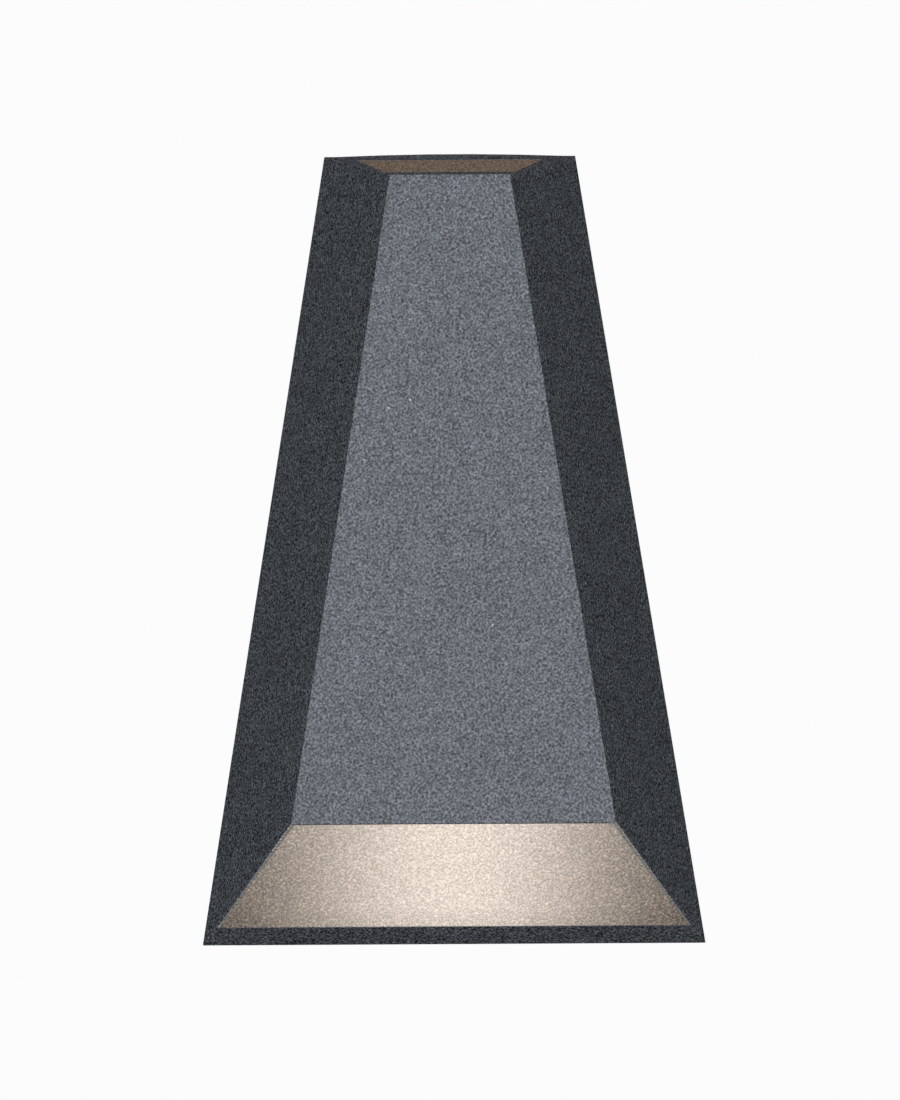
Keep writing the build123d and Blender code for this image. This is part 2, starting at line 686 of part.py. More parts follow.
def driver_screw_heights():
    """Heights of the two driver screws, in its ears."""
    z = (DRIVER_LENGTH + DRIVER_EAR) / 2
    return (-z, z)


def driver_base():
    """Floor of the driver, with an ear at each end and posts for its board."""
    x_range = (-DRIVER_WIDTH / 2, DRIVER_WIDTH / 2)
    base = block(x_range, (TRAY_FRONT, DRIVER_FLOOR), (-DRIVER_END, DRIVER_END))
    base = fillet(base.edges().filter_by(Axis.Y), DRIVER_EAR / 2)
    for z in driver_screw_heights():
        base -= bar(0, z, TRAY_FRONT - CUT_PAST, DRIVER_FLOOR + CUT_PAST, SCREW_RADIUS + CLEARANCE_HOLE)
    inset = DRIVER_WALL + CIRCUIT_MARGIN + DRIVER_POST_RADIUS
    for x in (inset - DRIVER_WIDTH / 2, DRIVER_WIDTH / 2 - inset):
        for z in (inset - DRIVER_LENGTH / 2, DRIVER_LENGTH / 2 - inset):
            base += bar(x, z, TRAY_FRONT + DRIVER_BASE / 2, CIRCUIT_DEPTH, DRIVER_POST_RADIUS)
    return base


def driver_case():
    """Cover of the driver, open towards its floor, with holes for its wires."""
    x, z = DRIVER_WIDTH / 2, DRIVER_LENGTH / 2
    case = block((-x, x), (DRIVER_FLOOR, DRIVER_FRONT), (-z, z))
    case = fillet(case.edges().filter_by(Axis.Y) + case.edges().group_by(Axis.Y)[0], DRIVER_WALL)
    inner_x, inner_z = x - DRIVER_WALL, z - DRIVER_WALL
    case -= block((-inner_x, inner_x), (DRIVER_FLOOR - CUT_PAST, DRIVER_ROOF), (-inner_z, inner_z))
    for end in (BOTTOM, TOP):
        for line in lead_lines(end):
            case -= rod(line[0] - Vector(0, 0, end.sign * CUT_PAST), line[1], LEAD_RADIUS + CLEARANCE_HOLE)
    for line in (wire_line(-1), wire_line(0)):
        case -= rod(line[-1] - Vector(0, 0, CUT_PAST), line[-2], WIRE_RADIUS + CLEARANCE_HOLE)
    return case


def driver_circuit():
    """Circuit board inside the driver."""
    x = DRIVER_WIDTH / 2 - DRIVER_WALL - CIRCUIT_MARGIN
    z = DRIVER_LENGTH / 2 - DRIVER_WALL - CIRCUIT_MARGIN
    return block((-x, x), (CIRCUIT_DEPTH, CIRCUIT_FRONT), (-z, z))


def driver_transformer():
    """Transformer on the driver's board: a core round a wound bobbin."""
    x, z = TRANSFORMER_WIDTH / 2, TRANSFORMER_LENGTH / 2
    core = block((-x, x), (CIRCUIT_FRONT, CIRCUIT_FRONT + TRANSFORMER_HEIGHT), (-z, z))
    bobbin_depths = (CIRCUIT_FRONT, CIRCUIT_FRONT + BOBBIN_HEIGHT)
    bobbin = bar(0, 0, *bobbin_depths, BOBBIN_RADIUS)
    waist = block((-BOBBIN_RADIUS, BOBBIN_RADIUS), bobbin_depths, (-BOBBIN_LENGTH / 2, BOBBIN_LENGTH / 2))
    return core + (bobbin & waist)


def driver_capacitors():
    """Two capacitors on the driver's board."""
    far = CIRCUIT_FRONT + CAPACITOR_LENGTH
    cans = []
    for side in (-0.5, 0.5):
        can = bar(side * CAPACITOR_SPACING, CAPACITOR_Z, CIRCUIT_FRONT, far, CAPACITOR_RADIUS)
        cans.append(fillet(can.edges().group_by(Axis.Y)[0], CAPACITOR_ROUND))
    return cans


def driver_screws():
    """Screws of the driver into the tray."""
    length = DRIVER_BASE + TRAY_THICKNESS
    seats = [facing_front(0, DRIVER_FLOOR, z) for z in driver_screw_heights()]
    return [pan_screw(seat, SCREW_RADIUS, length, SCREW_HEAD) for seat in seats]


def clamp_screw_heights():
    """Heights of the two screws of each pole."""
    return (TERMINAL_SCREW_Z - CLAMP_SCREW_SPACING / 2, TERMINAL_SCREW_Z + CLAMP_SCREW_SPACING / 2)


def poles():
    """X of the live, neutral and earth poles."""
    return (-POLE_PITCH, 0.0, POLE_PITCH)


def terminal_block():
    """Three-pole connector body on the back of the tray."""
    width = (-TERMINAL_WIDTH / 2, TERMINAL_WIDTH / 2)
    body = block(width, (TERMINAL_REAR, TRAY_REAR), (TERMINAL_BOTTOM, TERMINAL_TOP))
    body = chamfer(body.edges().group_by(Axis.Y)[-1], TERMINAL_CHAMFER)
    half = CLAMP_SIZE / 2 + SLIDE_GAP
    span = (TERMINAL_BOTTOM - CUT_PAST, TERMINAL_TOP + CUT_PAST)
    for x in poles():
        body -= block((x - half, x + half), (CLAMP_DEPTH - half, CLAMP_DEPTH + half), span)
        for z in clamp_screw_heights():
            body -= bar(x, z, TERMINAL_REAR - CUT_PAST, CLAMP_DEPTH, CLAMP_SCREW_HEAD + SLIDE_GAP)
    span = (TERMINAL_REAR - CUT_PAST, TRAY_REAR + CUT_PAST)
    return body - bar(TERMINAL_SCREW_X, TERMINAL_SCREW_Z, *span, SCREW_RADIUS + CLEARANCE_HOLE)


def terminal_clamps():
    """Brass clamps of the three poles."""
    half = CLAMP_SIZE / 2
    low = TERMINAL_BOTTOM + CLAMP_END_GAP
    high = TERMINAL_TOP - CLAMP_END_GAP
    clamps = []
    for x in poles():
        clamp = block((x - half, x + half), (CLAMP_DEPTH - half, CLAMP_DEPTH + half), (low, high))
        ends = point(x, CLAMP_DEPTH, low - CUT_PAST), point(x, CLAMP_DEPTH, high + CUT_PAST)
        clamp -= rod(*ends, CLAMP_BORE)
        for z in clamp_screw_heights():
            clamp -= bar(x, z, CLAMP_DEPTH - CLAMP_SIZE, CLAMP_DEPTH, SCREW_RADIUS + THREAD_GAP)
        clamps.append(clamp)
    return clamps


def terminal_screws():
    """Clamp screws, two to a pole, down to the wires."""
    tip = CLAMP_DEPTH - WIRE_RADIUS - THREAD_GAP
    seat_depth = tip - CLAMP_SCREW_LENGTH
    screws = []
    for x in poles():
        for z in clamp_screw_heights():
            seat = facing_wall(x, seat_depth, z)
            head = (CLAMP_SCREW_HEAD, CLAMP_SCREW_HEAD_HEIGHT)
            screws.append(pan_screw(seat, SCREW_RADIUS, CLAMP_SCREW_LENGTH, *head))
    return screws


def terminal_fixing_screw():
    """Long screw between two poles that holds the connector to the tray."""
    seat = facing_wall(TERMINAL_SCREW_X, TERMINAL_REAR, TERMINAL_SCREW_Z)
    return pan_screw(seat, SCREW_RADIUS, TERMINAL_HEIGHT + TRAY_THICKNESS, SCREW_HEAD)


def wire_line(pole):
    """Route of the live (-1) or neutral (0) wire: connector, grommet, driver."""
    x = pole * POLE_PITCH
    through = GROMMET_X + (pole + 0.5) * WIRE_SPACING
    low = TERMINAL_TOP - WIRE_INSERT
    return [
        point(x, CLAMP_DEPTH, low),
        point(x, CLAMP_DEPTH, TERMINAL_TOP + WIRE_RISE),
        point(through, CLAMP_DEPTH, GROMMET_Z),
        point(through, LEAD_DEPTH, GROMMET_Z),
        point(through, LEAD_DEPTH, DRIVER_LENGTH / 2 - DRIVER_WALL),
    ]


def mains_wire(pole):
    """Live or neutral wire from the connector to the driver."""
    return tube(wire_line(pole), WIRE_RADIUS, WIRE_BEND)


def earth_lug_depth():
    """Depth of the middle of the earth lug's barrel."""
    return TRAY_REAR - LUG_BARREL - SLIDE_GAP


def earth_wire():
    """Earth wire from the connector to the lug on the tray."""
    x = POLE_PITCH
    inside_barrel = EARTH_X - LUG_RING - FIT_GAP
    line = [
        point(x, CLAMP_DEPTH, TERMINAL_TOP - WIRE_INSERT),
        point(x, CLAMP_DEPTH, TERMINAL_TOP + WIRE_RISE),
        point(x, earth_lug_depth(), GROMMET_Z),
        point(inside_barrel, earth_lug_depth(), GROMMET_Z),
    ]
    return tube(line, WIRE_RADIUS, WIRE_BEND)


def tray_earth_lug():
    """Ring terminal of the earth wire."""
    near = TRAY_REAR - LUG_SHEET
    ring = bar(EARTH_X, GROMMET_Z, near, TRAY_REAR, LUG_RING)
    start = EARTH_X - LUG_RING - LUG_BARREL_LENGTH
    neck_z = (GROMMET_Z - LUG_BARREL, GROMMET_Z + LUG_BARREL)
    ring += block((EARTH_X - LUG_RING - LUG_BARREL, EARTH_X), (near, TRAY_REAR), neck_z)
    depth = earth_lug_depth()
    barrel_ends = point(start, depth, GROMMET_Z), point(EARTH_X - LUG_RING, depth, GROMMET_Z)
    lug = ring + rod(*barrel_ends, LUG_BARREL)
    lug -= rod(*barrel_ends, WIRE_RADIUS + THREAD_GAP)
    return lug - bar(EARTH_X, GROMMET_Z, near - CUT_PAST, TRAY_REAR + CUT_PAST, EARTH_SCREW_RADIUS + FIT_GAP)


def tray_earth_screw():
    """Screw that holds the earth lug to the tray."""
    seat = facing_wall(EARTH_X, TRAY_REAR - LUG_SHEET, GROMMET_Z)
    return pan_screw(seat, EARTH_SCREW_RADIUS, EARTH_SCREW_LENGTH, EARTH_SCREW_HEAD)


def feed_through_grommet():
    """Rubber grommet where the mains wires pass the tray."""
    thick = GROMMET_FLANGE_THICKNESS
    body = bar(GROMMET_X, GROMMET_Z, TRAY_REAR - thick, TRAY_FRONT + thick, GROMMET_RADIUS)
    for near, far in ((TRAY_REAR - thick, TRAY_REAR), (TRAY_FRONT, TRAY_FRONT + thick)):
        body += bar(GROMMET_X, GROMMET_Z, near, far, GROMMET_RADIUS + GROMMET_FLANGE)
    return body - bar(GROMMET_X, GROMMET_Z, TRAY_REAR - 2 * thick, TRAY_FRONT + 2 * thick, GROMMET_BORE)


def vent_plug():
    """Snap-in plug that lets the sealed body breathe."""
    near = TRAY_REAR - VENT_FLANGE_THICKNESS
    plug = bar(0, VENT_Z, near, TRAY_REAR, VENT_FLANGE)
    plug = fillet(plug.edges().group_by(Axis.Y)[-1], VENT_FLANGE_ROUND)
    plug += bar(0, VENT_Z, TRAY_REAR, TRAY_FRONT + VENT_FLANGE_THICKNESS, VENT_RADIUS)
    return plug + bar(0, VENT_Z, TRAY_FRONT, TRAY_FRONT + VENT_FLANGE_THICKNESS, VENT_RADIUS + VENT_BARB)


def build_nodes():
    """All pieces by node name; a list is a group of like pieces."""
    nodes = {
        "wall_bracket": wall_bracket(),
        "bracket_earth_stud": bar(STUD_X, STUD_Z, 0, STUD_LENGTH, STUD_RADIUS),
        "bracket_earth_washer": bracket_earth_washer(),
        "bracket_earth_nut": bracket_earth_nut(),
        "housing": housing(),
        "wall_seal": wall_seal(),
        "left_fixing_screw": fixing_screw(-1),
        "right_fixing_screw": fixing_screw(1),
        "gear_tray": gear_tray(),
        "gear_tray_seal": gear_tray_seal(),
        "gear_tray_screws": gear_tray_screws(),
        "driver_base": driver_base(),
        "driver_case": driver_case(),
        "driver_circuit": driver_circuit(),
        "driver_transformer": driver_transformer(),
        "driver_capacitors": driver_capacitors(),
        "driver_screws": driver_screws(),
        "terminal_block": terminal_block(),
        "terminal_clamps": terminal_clamps(),
        "terminal_screws": terminal_screws(),
        "terminal_fixing_screw": terminal_fixing_screw(),
        "live_wire": mains_wire(-1),
        "neutral_wire": mains_wire(0),
        "earth_wire": earth_wire(),
        "tray_earth_lug": tray_earth_lug(),
        "tray_earth_screw": tray_earth_screw(),
        "feed_through_grommet": feed_through_grommet(),
        "vent_plug": vent_plug(),
    }
    for name, end in (("bottom", BOTTOM), ("top", TOP)):
        nodes[f"{name}_diffuser"] = diffuser(end)
        nodes[f"{name}_diffuser_seal"] = diffuser_seal(end)
        nodes[f"{name}_led_carrier"] = led_carrier(end)
        nodes[f"{name}_carrier_screws"] = carrier_screws(end)
        nodes[f"{name}_led_board"] = led_board(end)
        nodes[f"{name}_board_screws"] = board_screws(end)
        nodes[f"{name}_leds"] = leds(end)
        nodes[f"{name}_led_leads"] = led_leads(end)
    return nodes


def main():
    """Write one STEP file for each node."""
    os.makedirs("parts", exist_ok=True)
    for name, shape in build_nodes().items():
        pieces = shape if isinstance(shape, list) else [shape]
        solids = [solid for piece in pieces for solid in piece.solids()]
        export_step(Compound(children=solids) if len(solids) > 1 else solids[0], f"parts/{name}.step")
        print(name, len(solids))


main()
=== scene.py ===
import json
import logging
import math
from dataclasses import dataclass
from enum import Enum
from typing import Any, ClassVar

import bmesh
import bpy
from mathutils import Matrix, Vector


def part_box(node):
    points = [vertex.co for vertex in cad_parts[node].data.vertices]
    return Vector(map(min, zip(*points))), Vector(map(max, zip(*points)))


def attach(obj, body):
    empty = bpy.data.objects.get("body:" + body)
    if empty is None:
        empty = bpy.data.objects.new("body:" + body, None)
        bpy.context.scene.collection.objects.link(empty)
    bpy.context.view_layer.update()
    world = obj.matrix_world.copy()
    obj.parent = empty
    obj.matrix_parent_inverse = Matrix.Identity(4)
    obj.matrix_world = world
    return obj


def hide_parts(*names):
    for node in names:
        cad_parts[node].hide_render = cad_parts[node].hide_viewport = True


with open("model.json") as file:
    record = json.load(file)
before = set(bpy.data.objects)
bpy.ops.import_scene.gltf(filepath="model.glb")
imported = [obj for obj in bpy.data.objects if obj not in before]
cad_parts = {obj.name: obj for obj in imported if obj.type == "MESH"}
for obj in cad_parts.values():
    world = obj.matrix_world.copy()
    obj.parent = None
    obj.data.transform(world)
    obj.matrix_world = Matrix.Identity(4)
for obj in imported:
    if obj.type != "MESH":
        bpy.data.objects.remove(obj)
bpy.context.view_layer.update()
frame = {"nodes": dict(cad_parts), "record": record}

# Looks of a tapered outdoor wall light. Metres; +Z is up, the wall is Y = 0 and the front faces -Y.

LOG = logging.getLogger("wall_light")
MM = 0.001
SLOT_OF = {row["node"]: row["material_slot"] for row in frame["record"]["subparts"]}

Colour = tuple[float, float, float, float]
Triple = tuple[float, float, float]
Socket = bpy.types.NodeSocket
Sockets = bpy.types.NodeOutputs

# Display curve: straight below the knee, a power above it
LEVELS = 255
CURVE_KNEE = 0.04045
CURVE_SLOPE = 12.92
CURVE_OFFSET = 0.055
CURVE_POWER = 2.4

# Value that noise lies round
NOISE_MIDDLE = 0.5

# Detail of small meshes
ROUND_PROFILE = 0.5
EDGE_SEGMENTS = 2
DOME_SEGMENTS = 16
DOME_RINGS = 8


def srgb(red: float, green: float, blue: float) -> Colour:
    """Turn a display colour into the linear colour that a socket takes.

    Args:
        red: Red level from 0 to 255.
        green: Green level from 0 to 255.
        blue: Blue level from 0 to 255.

    Returns:
        Linear red, green and blue, and an alpha of 1.
    """
    linear = []
    for level in (red, green, blue):
        share = level / LEVELS
        if share <= CURVE_KNEE:
            linear.append(share / CURVE_SLOPE)
        else:
            linear.append(((share + CURVE_OFFSET) / (1 + CURVE_OFFSET)) ** CURVE_POWER)
    return (*linear, 1.0)


class NodePen:
    """Draws nodes in a node tree and joins their sockets."""

    # Numbers of the Mix node's sockets for colours, which share their names with others
    mix_inputs: ClassVar[tuple[int, int, int]] = (0, 6, 7)
    mix_output: ClassVar[int] = 2

    def __init__(self, tree: bpy.types.NodeTree) -> None:
        """Start on a tree."""
        self.tree = tree

    def feed(self, socket: Socket, value: Any) -> None:
        """Join a socket to another one, or set its value.

        Args:
            socket: Input socket of a node.
            value: Output socket to join, or a plain value.
        """
        if isinstance(value, bpy.types.NodeSocket):
            self.tree.links.new(value, socket)
        else:
            socket.default_value = value

    def node(self, kind: str, inputs: dict[str | int, Any] | None = None, **settings: Any) -> bpy.types.Node:
        """Add a node.

        Args:
            kind: Blender's name of the node's type.
            inputs: Input sockets by name or number, each with a value or a socket to join.
            **settings: Properties of the node, which are set first.

        Returns:
            The new node.
        """
        node = self.tree.nodes.new(kind)
        for name, value in settings.items():
            setattr(node, name, value)
        for key, value in (inputs or {}).items():
            self.feed(node.inputs[key], value)
        return node

    def math(self, operation: str, *values: Any) -> Socket:
        """Work out a number.

        Args:
            operation: Name of the Math node's operation.
            *values: Numbers or sockets, in order.

        Returns:
            The output socket.
        """
        return self.node("ShaderNodeMath", dict(enumerate(values)), operation=operation).outputs[0]

    def mix(self, share: Any, first: Any, second: Any, blend: str = "MIX") -> Socket:
        """Mix two colours.

        Args:
            share: How much of the second colour, from 0 to 1.
            first: First colour.
            second: Second colour.
            blend: Name of the blend.

        Returns:
            The output socket.
        """
        inputs = dict(zip(self.mix_inputs, (share, first, second)))
        node = self.node("ShaderNodeMix", inputs, data_type="RGBA", blend_type=blend)
        return node.outputs[self.mix_output]

    def ramp(self, value: Any, low: float, high: float, start: float = 0.0, end: float = 1.0) -> Socket:
        """Ease from one number to another as a value goes from low to high.

        Args:
            value: The value that is read.
            low: Value at the start.
            high: Value at the end.
            start: Result at or below low.
            end: Result at or above high.

        Returns:
            The output socket.
        """
        inputs = {"Value": value, "From Min": low, "From Max": high, "To Min": start, "To Max": end}
        return self.node("ShaderNodeMapRange", inputs, interpolation_type="SMOOTHSTEP").outputs[0]

    def place(self) -> Socket:
        """Give the object coordinates."""
        return self.node("ShaderNodeTexCoord").outputs["Object"]

    def axes(self) -> Sockets:
        """Give the object coordinates as X, Y and Z."""
        return self.node("ShaderNodeSeparateXYZ", {0: self.place()}).outputs


class SharedEffect:
    """A shader node group that several finishes place, each with its own values."""

    label: ClassVar[str]
    inputs: ClassVar[dict[str, str]]
    outputs: ClassVar[tuple[str, ...]]

    @classmethod
    def draw(cls, pen: NodePen, inlet: Sockets) -> dict[str, Socket]:
        """Draw the group's nodes; each effect has its own.

        Args:
            pen: Pen in the group's tree.
            inlet: The group's inputs.

        Returns:
            A socket for each output.
        """
        raise NotImplementedError

    @classmethod
    def group(cls) -> bpy.types.NodeTree:
        """Build the group, unless it was built before.

        Returns:
            The group's tree.
        """
        found = bpy.data.node_groups.get(cls.label)
        if found:
            return found
        tree = bpy.data.node_groups.new(cls.label, "ShaderNodeTree")
        for label, kind in cls.inputs.items():
            tree.interface.new_socket(label, in_out="INPUT", socket_type=kind)
        for label in cls.outputs:
            tree.interface.new_socket(label, in_out="OUTPUT", socket_type="NodeSocketFloat")
        pen = NodePen(tree)
        made = cls.draw(pen, pen.node("NodeGroupInput").outputs)
        pen.node("NodeGroupOutput", made)
        return tree

    @classmethod
    def put(cls, pen: NodePen, values: dict[str, Any]) -> Sockets:
        """Place the group in a material.

        Args:
            pen: Pen in the material's tree.
            values: A value or a socket for each input.

        Returns:
            The group's outputs.
        """
        return pen.node("ShaderNodeGroup", values, node_tree=cls.group()).outputs


class SandGrain(SharedEffect):
    """Fine sandy grain: a tone round 1, a height, and sparse painted glints."""

    label = "sand_grain"
    inputs = {
        "Grains": "NodeSocketFloat",
        "Stretch": "NodeSocketVector",
        "Spread": "NodeSocketFloat",
        "Specks": "NodeSocketFloat",
    }
    outputs = ("Tone", "Height", "Speck")
    shift: ClassVar[Triple] = (0.0113, 0.0271, 0.0197)
    turn: ClassVar[Triple] = (0.61, 0.47, 0.83)
    coarse_share: ClassVar[float] = 0.12
    noise_gain: ClassVar[float] = 6.0
    evenness: ClassVar[float] = 2.2
    mean_gain: ClassVar[float] = 0.13
    speck_spacing: ClassVar[float] = 0.45
    speck_radius: ClassVar[float] = 0.22

    @classmethod
    def draw(cls, pen: NodePen, inlet: Sockets) -> dict[str, Socket]:
        """Draw fine and coarse noise, and a painted glint in a few cells of a scatter.

        Args:
            pen: Pen in the group's tree.
            inlet: The group's inputs.

        Returns:
            A socket for each output.
        """
        grains, spread = inlet["Grains"], inlet["Spread"]
        inputs = {0: pen.place(), 1: inlet["Stretch"]}
        drawn = pen.node("ShaderNodeVectorMath", inputs, operation="MULTIPLY").outputs[0]
        inputs = {"Vector": drawn, "Location": cls.shift, "Rotation": cls.turn}
        place = pen.node("ShaderNodeMapping", inputs).outputs[0]
        noise = {"Vector": place, "Scale": grains, "Detail": 0.0}
        fine = pen.node("ShaderNodeTexNoise", noise).outputs[0]
        wide = pen.math("MULTIPLY", grains, cls.coarse_share)
        coarse = pen.node("ShaderNodeTexNoise", {"Vector": place, "Scale": wide}).outputs[0]
        both = pen.math("ADD", fine, pen.math("MULTIPLY", coarse, cls.coarse_share))
        centred = pen.math("SUBTRACT", both, (1 + cls.coarse_share) * NOISE_MIDDLE)
        swing = pen.math("MULTIPLY", centred, cls.noise_gain / cls.evenness)
        level = pen.math("MAXIMUM", pen.math("MULTIPLY_ADD", swing, spread, 1.0), 0.0)
        mean = pen.math("MULTIPLY_ADD", pen.math("MULTIPLY", spread, spread), cls.mean_gain, 1.0)
        tone = pen.math("DIVIDE", pen.math("POWER", level, cls.evenness), mean)
        # Painted glints: a bright point in a few cells of a scatter
        cells = pen.math("MULTIPLY", grains, cls.speck_spacing)
        scatter = pen.node("ShaderNodeTexVoronoi", {"Vector": place, "Scale": cells})
        dot = pen.math("LESS_THAN", scatter.outputs["Distance"], cls.speck_radius)
        chance = pen.node("ShaderNodeSeparateColor", {0: scatter.outputs["Color"]}).outputs[0]
        glint = pen.math("MULTIPLY", dot, pen.math("LESS_THAN", chance, inlet["Specks"]))
        return {"Tone": tone, "Height": both, "Speck": glint}


class SheetGrain(SharedEffect):
    """Drawn-out grain of rolled, brushed or turned metal: a tone round 1 and a height."""

    label = "sheet_grain"
    inputs = {"Lines": "NodeSocketVector", "Spread": "NodeSocketFloat"}
    outputs = ("Tone", "Height")
    noise_gain: ClassVar[float] = 4.0
    detail: ClassVar[float] = 4.0

    @classmethod
    def draw(cls, pen: NodePen, inlet: Sockets) -> dict[str, Socket]:
        """Draw noise on coordinates that are stretched by the lines per metre.

        Args:
            pen: Pen in the group's tree.
            inlet: The group's inputs.

        Returns:
            A socket for each output.
        """
        inputs = {0: pen.place(), 1: inlet["Lines"]}
        drawn = pen.node("ShaderNodeVectorMath", inputs, operation="MULTIPLY").outputs[0]
        noise = {"Vector": drawn, "Scale": 1.0, "Detail": cls.detail}
        grain = pen.node("ShaderNodeTexNoise", noise).outputs[0]
        swing = pen.math("MULTIPLY", pen.math("SUBTRACT", grain, NOISE_MIDDLE), cls.noise_gain)
        return {"Tone": pen.math("MULTIPLY_ADD", swing, inlet["Spread"], 1.0), "Height": grain}


class Mottle(SharedEffect):
    """Soft patches, as on moulded parts and handled surfaces: a tone round 1."""

    label = "mottle"
    inputs = {"Patches": "NodeSocketFloat", "Spread": "NodeSocketFloat"}
    outputs = ("Tone",)
    noise_gain: ClassVar[float] = 5.0
    detail: ClassVar[float] = 3.0

    @classmethod
    def draw(cls, pen: NodePen, inlet: Sockets) -> dict[str, Socket]:
        """Draw broad noise.

        Args:
            pen: Pen in the group's tree.
            inlet: The group's inputs.

        Returns:
            A socket for the output.
        """
        noise = {"Vector": pen.place(), "Scale": inlet["Patches"], "Detail": cls.detail}
        patches = pen.node("ShaderNodeTexNoise", noise).outputs[0]
        swing = pen.math("MULTIPLY", pen.math("SUBTRACT", patches, NOISE_MIDDLE), cls.noise_gain)
        return {"Tone": pen.math("MULTIPLY_ADD", swing, inlet["Spread"], 1.0)}


@dataclass(frozen=True)
class Finish:
    """A finish by the name of its slot; each kind paints its own nodes."""

    slot: str
    colour: Colour
    roughness: float
    patches: ClassVar[float]
    patch_spread: ClassVar[float]

    def paint(self, pen: NodePen, shader: bpy.types.Node) -> None:
        """Paint the finish.

        Args:
            pen: Pen in the material's tree.
            shader: The material's Principled BSDF.
        """
        raise NotImplementedError

    def mottle(self, pen: NodePen) -> Socket:
        """Give the tone of the finish's soft patches."""
        values = {"Patches": self.patches, "Spread": self.patch_spread}
        return Mottle.put(pen, values)["Tone"]

    def bump(self, pen: NodePen, height: Socket, depth: float) -> Socket:
        """Turn a height into a normal.

        Args:
            pen: Pen in the material's tree.
            height: Height from 0 to 1.
            depth: Depth in metres of a height of 1.

        Returns:
            The output socket.
        """
        inputs = {"Height": height, "Distance": depth, "Strength": 1.0}
        return pen.node("ShaderNodeBump", inputs).outputs[0]

    def material(self) -> bpy.types.Material:
        """Build the finish's material, unless it was built before.

        Returns:
            The material.
        """
        found = bpy.data.materials.get(f"finish_{self.slot}")
        if found:
            return found
        material = bpy.data.materials.new(f"finish_{self.slot}")
        material.use_nodes = True
        material.node_tree.nodes.clear()
        pen = NodePen(material.node_tree)
        shader = pen.node("ShaderNodeBsdfPrincipled", {"Roughness": self.roughness})
        self.paint(pen, shader)
        pen.node("ShaderNodeOutputMaterial", {"Surface": shader.outputs[0]})
        return material


@dataclass(frozen=True)
class Wedge:
    """Outer sizes of the tapered housing, whose sides and ends slope in towards the front."""

    height: float = 250.0 * MM
    bottom_width: float = 154.0 * MM
    top_width: float = 79.0 * MM
    depth: float = 72.0 * MM
    side_inset: float = 25.2 * MM
    end_inset: float = 25.8 * MM

    def end_angle(self) -> float:
        """Give the angle of both sloped ends from the level."""
        return math.atan2(self.end_inset, self.depth)

    def side_gap(self, pen: NodePen, axes: Sockets) -> Socket:
        """Measure how far a point lies inside the side planes, along X.

        Args:
            pen: Pen in the material's tree.
            axes: Object coordinates.

        Returns:
            The output socket.
        """
        taper = (self.bottom_width - self.top_width) / 2 / self.height
        middle = (self.bottom_width + self.top_width) / 4
        tapered = pen.math("MULTIPLY_ADD", axes["Z"], -taper, middle)
        half = pen.math("MULTIPLY_ADD", axes["Y"], self.side_inset / self.depth, tapered)
        return pen.math("SUBTRACT", half, pen.math("ABSOLUTE", axes["X"]))

    def floor_gap(self, pen: NodePen, axes: Sockets) -> Socket:
        """Give how far a point lies above the lower slope, along Z."""
        risen = pen.math("ADD", axes["Z"], self.height / 2)
        return pen.math("MULTIPLY_ADD", axes["Y"], self.end_inset / self.depth, risen)


@dataclass(frozen=True)
class ScrewHole:
    """Walls of the two upright holes for the fixing screws, which lie to the left and right alike and take
    painted shade.
    """

    screw: str = "right_fixing_screw"
    gap: float = 0.1 * MM

    def mask(self, pen: NodePen, axes: Sockets) -> Socket:
        """Find the holes' walls, where the shade is painted.

        Args:
            pen: Pen in the material's tree.
            axes: Object coordinates.

        Returns:
            A socket that is 1 on the walls and 0 elsewhere.
        """
        low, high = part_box(self.screw)
        middle = (low + high) / 2
        radius = (high.x - low.x) / 2 + self.gap
        across = pen.math("SUBTRACT", pen.math("ABSOLUTE", axes["X"]), middle.x)
        along = pen.math("SUBTRACT", axes["Y"], middle.y)
        square = pen.math("MULTIPLY_ADD", across, across, pen.math("MULTIPLY", along, along))
        inside = pen.math("LESS_THAN", square, radius**2)
        return pen.math("MULTIPLY", inside, pen.math("GREATER_THAN", axes["Z"], 0.0))


@dataclass(frozen=True)
class GrainedFinish(Finish):
    """A finish with a sandy grain, drawn out along the depth where it is seen at a low angle."""

    grains: float
    spread: float
    stretch: Triple

    def contrast(self, pen: NodePen) -> Any:
        """Give the contrast of the grain."""
        return self.spread

    def grain(self, pen: NodePen, specks: float = 0.0) -> Sockets:
        """Place the grain.

        Args:
            pen: Pen in the material's tree.
            glints: Share of the scatter's cells that hold a painted glint.

        Returns:
            The grain's outputs.
        """
        values = {
            "Grains": self.grains,
            "Stretch": self.stretch,
            "Spread": self.contrast(pen),
            "Specks": specks,
        }
        return SandGrain.put(pen, values)


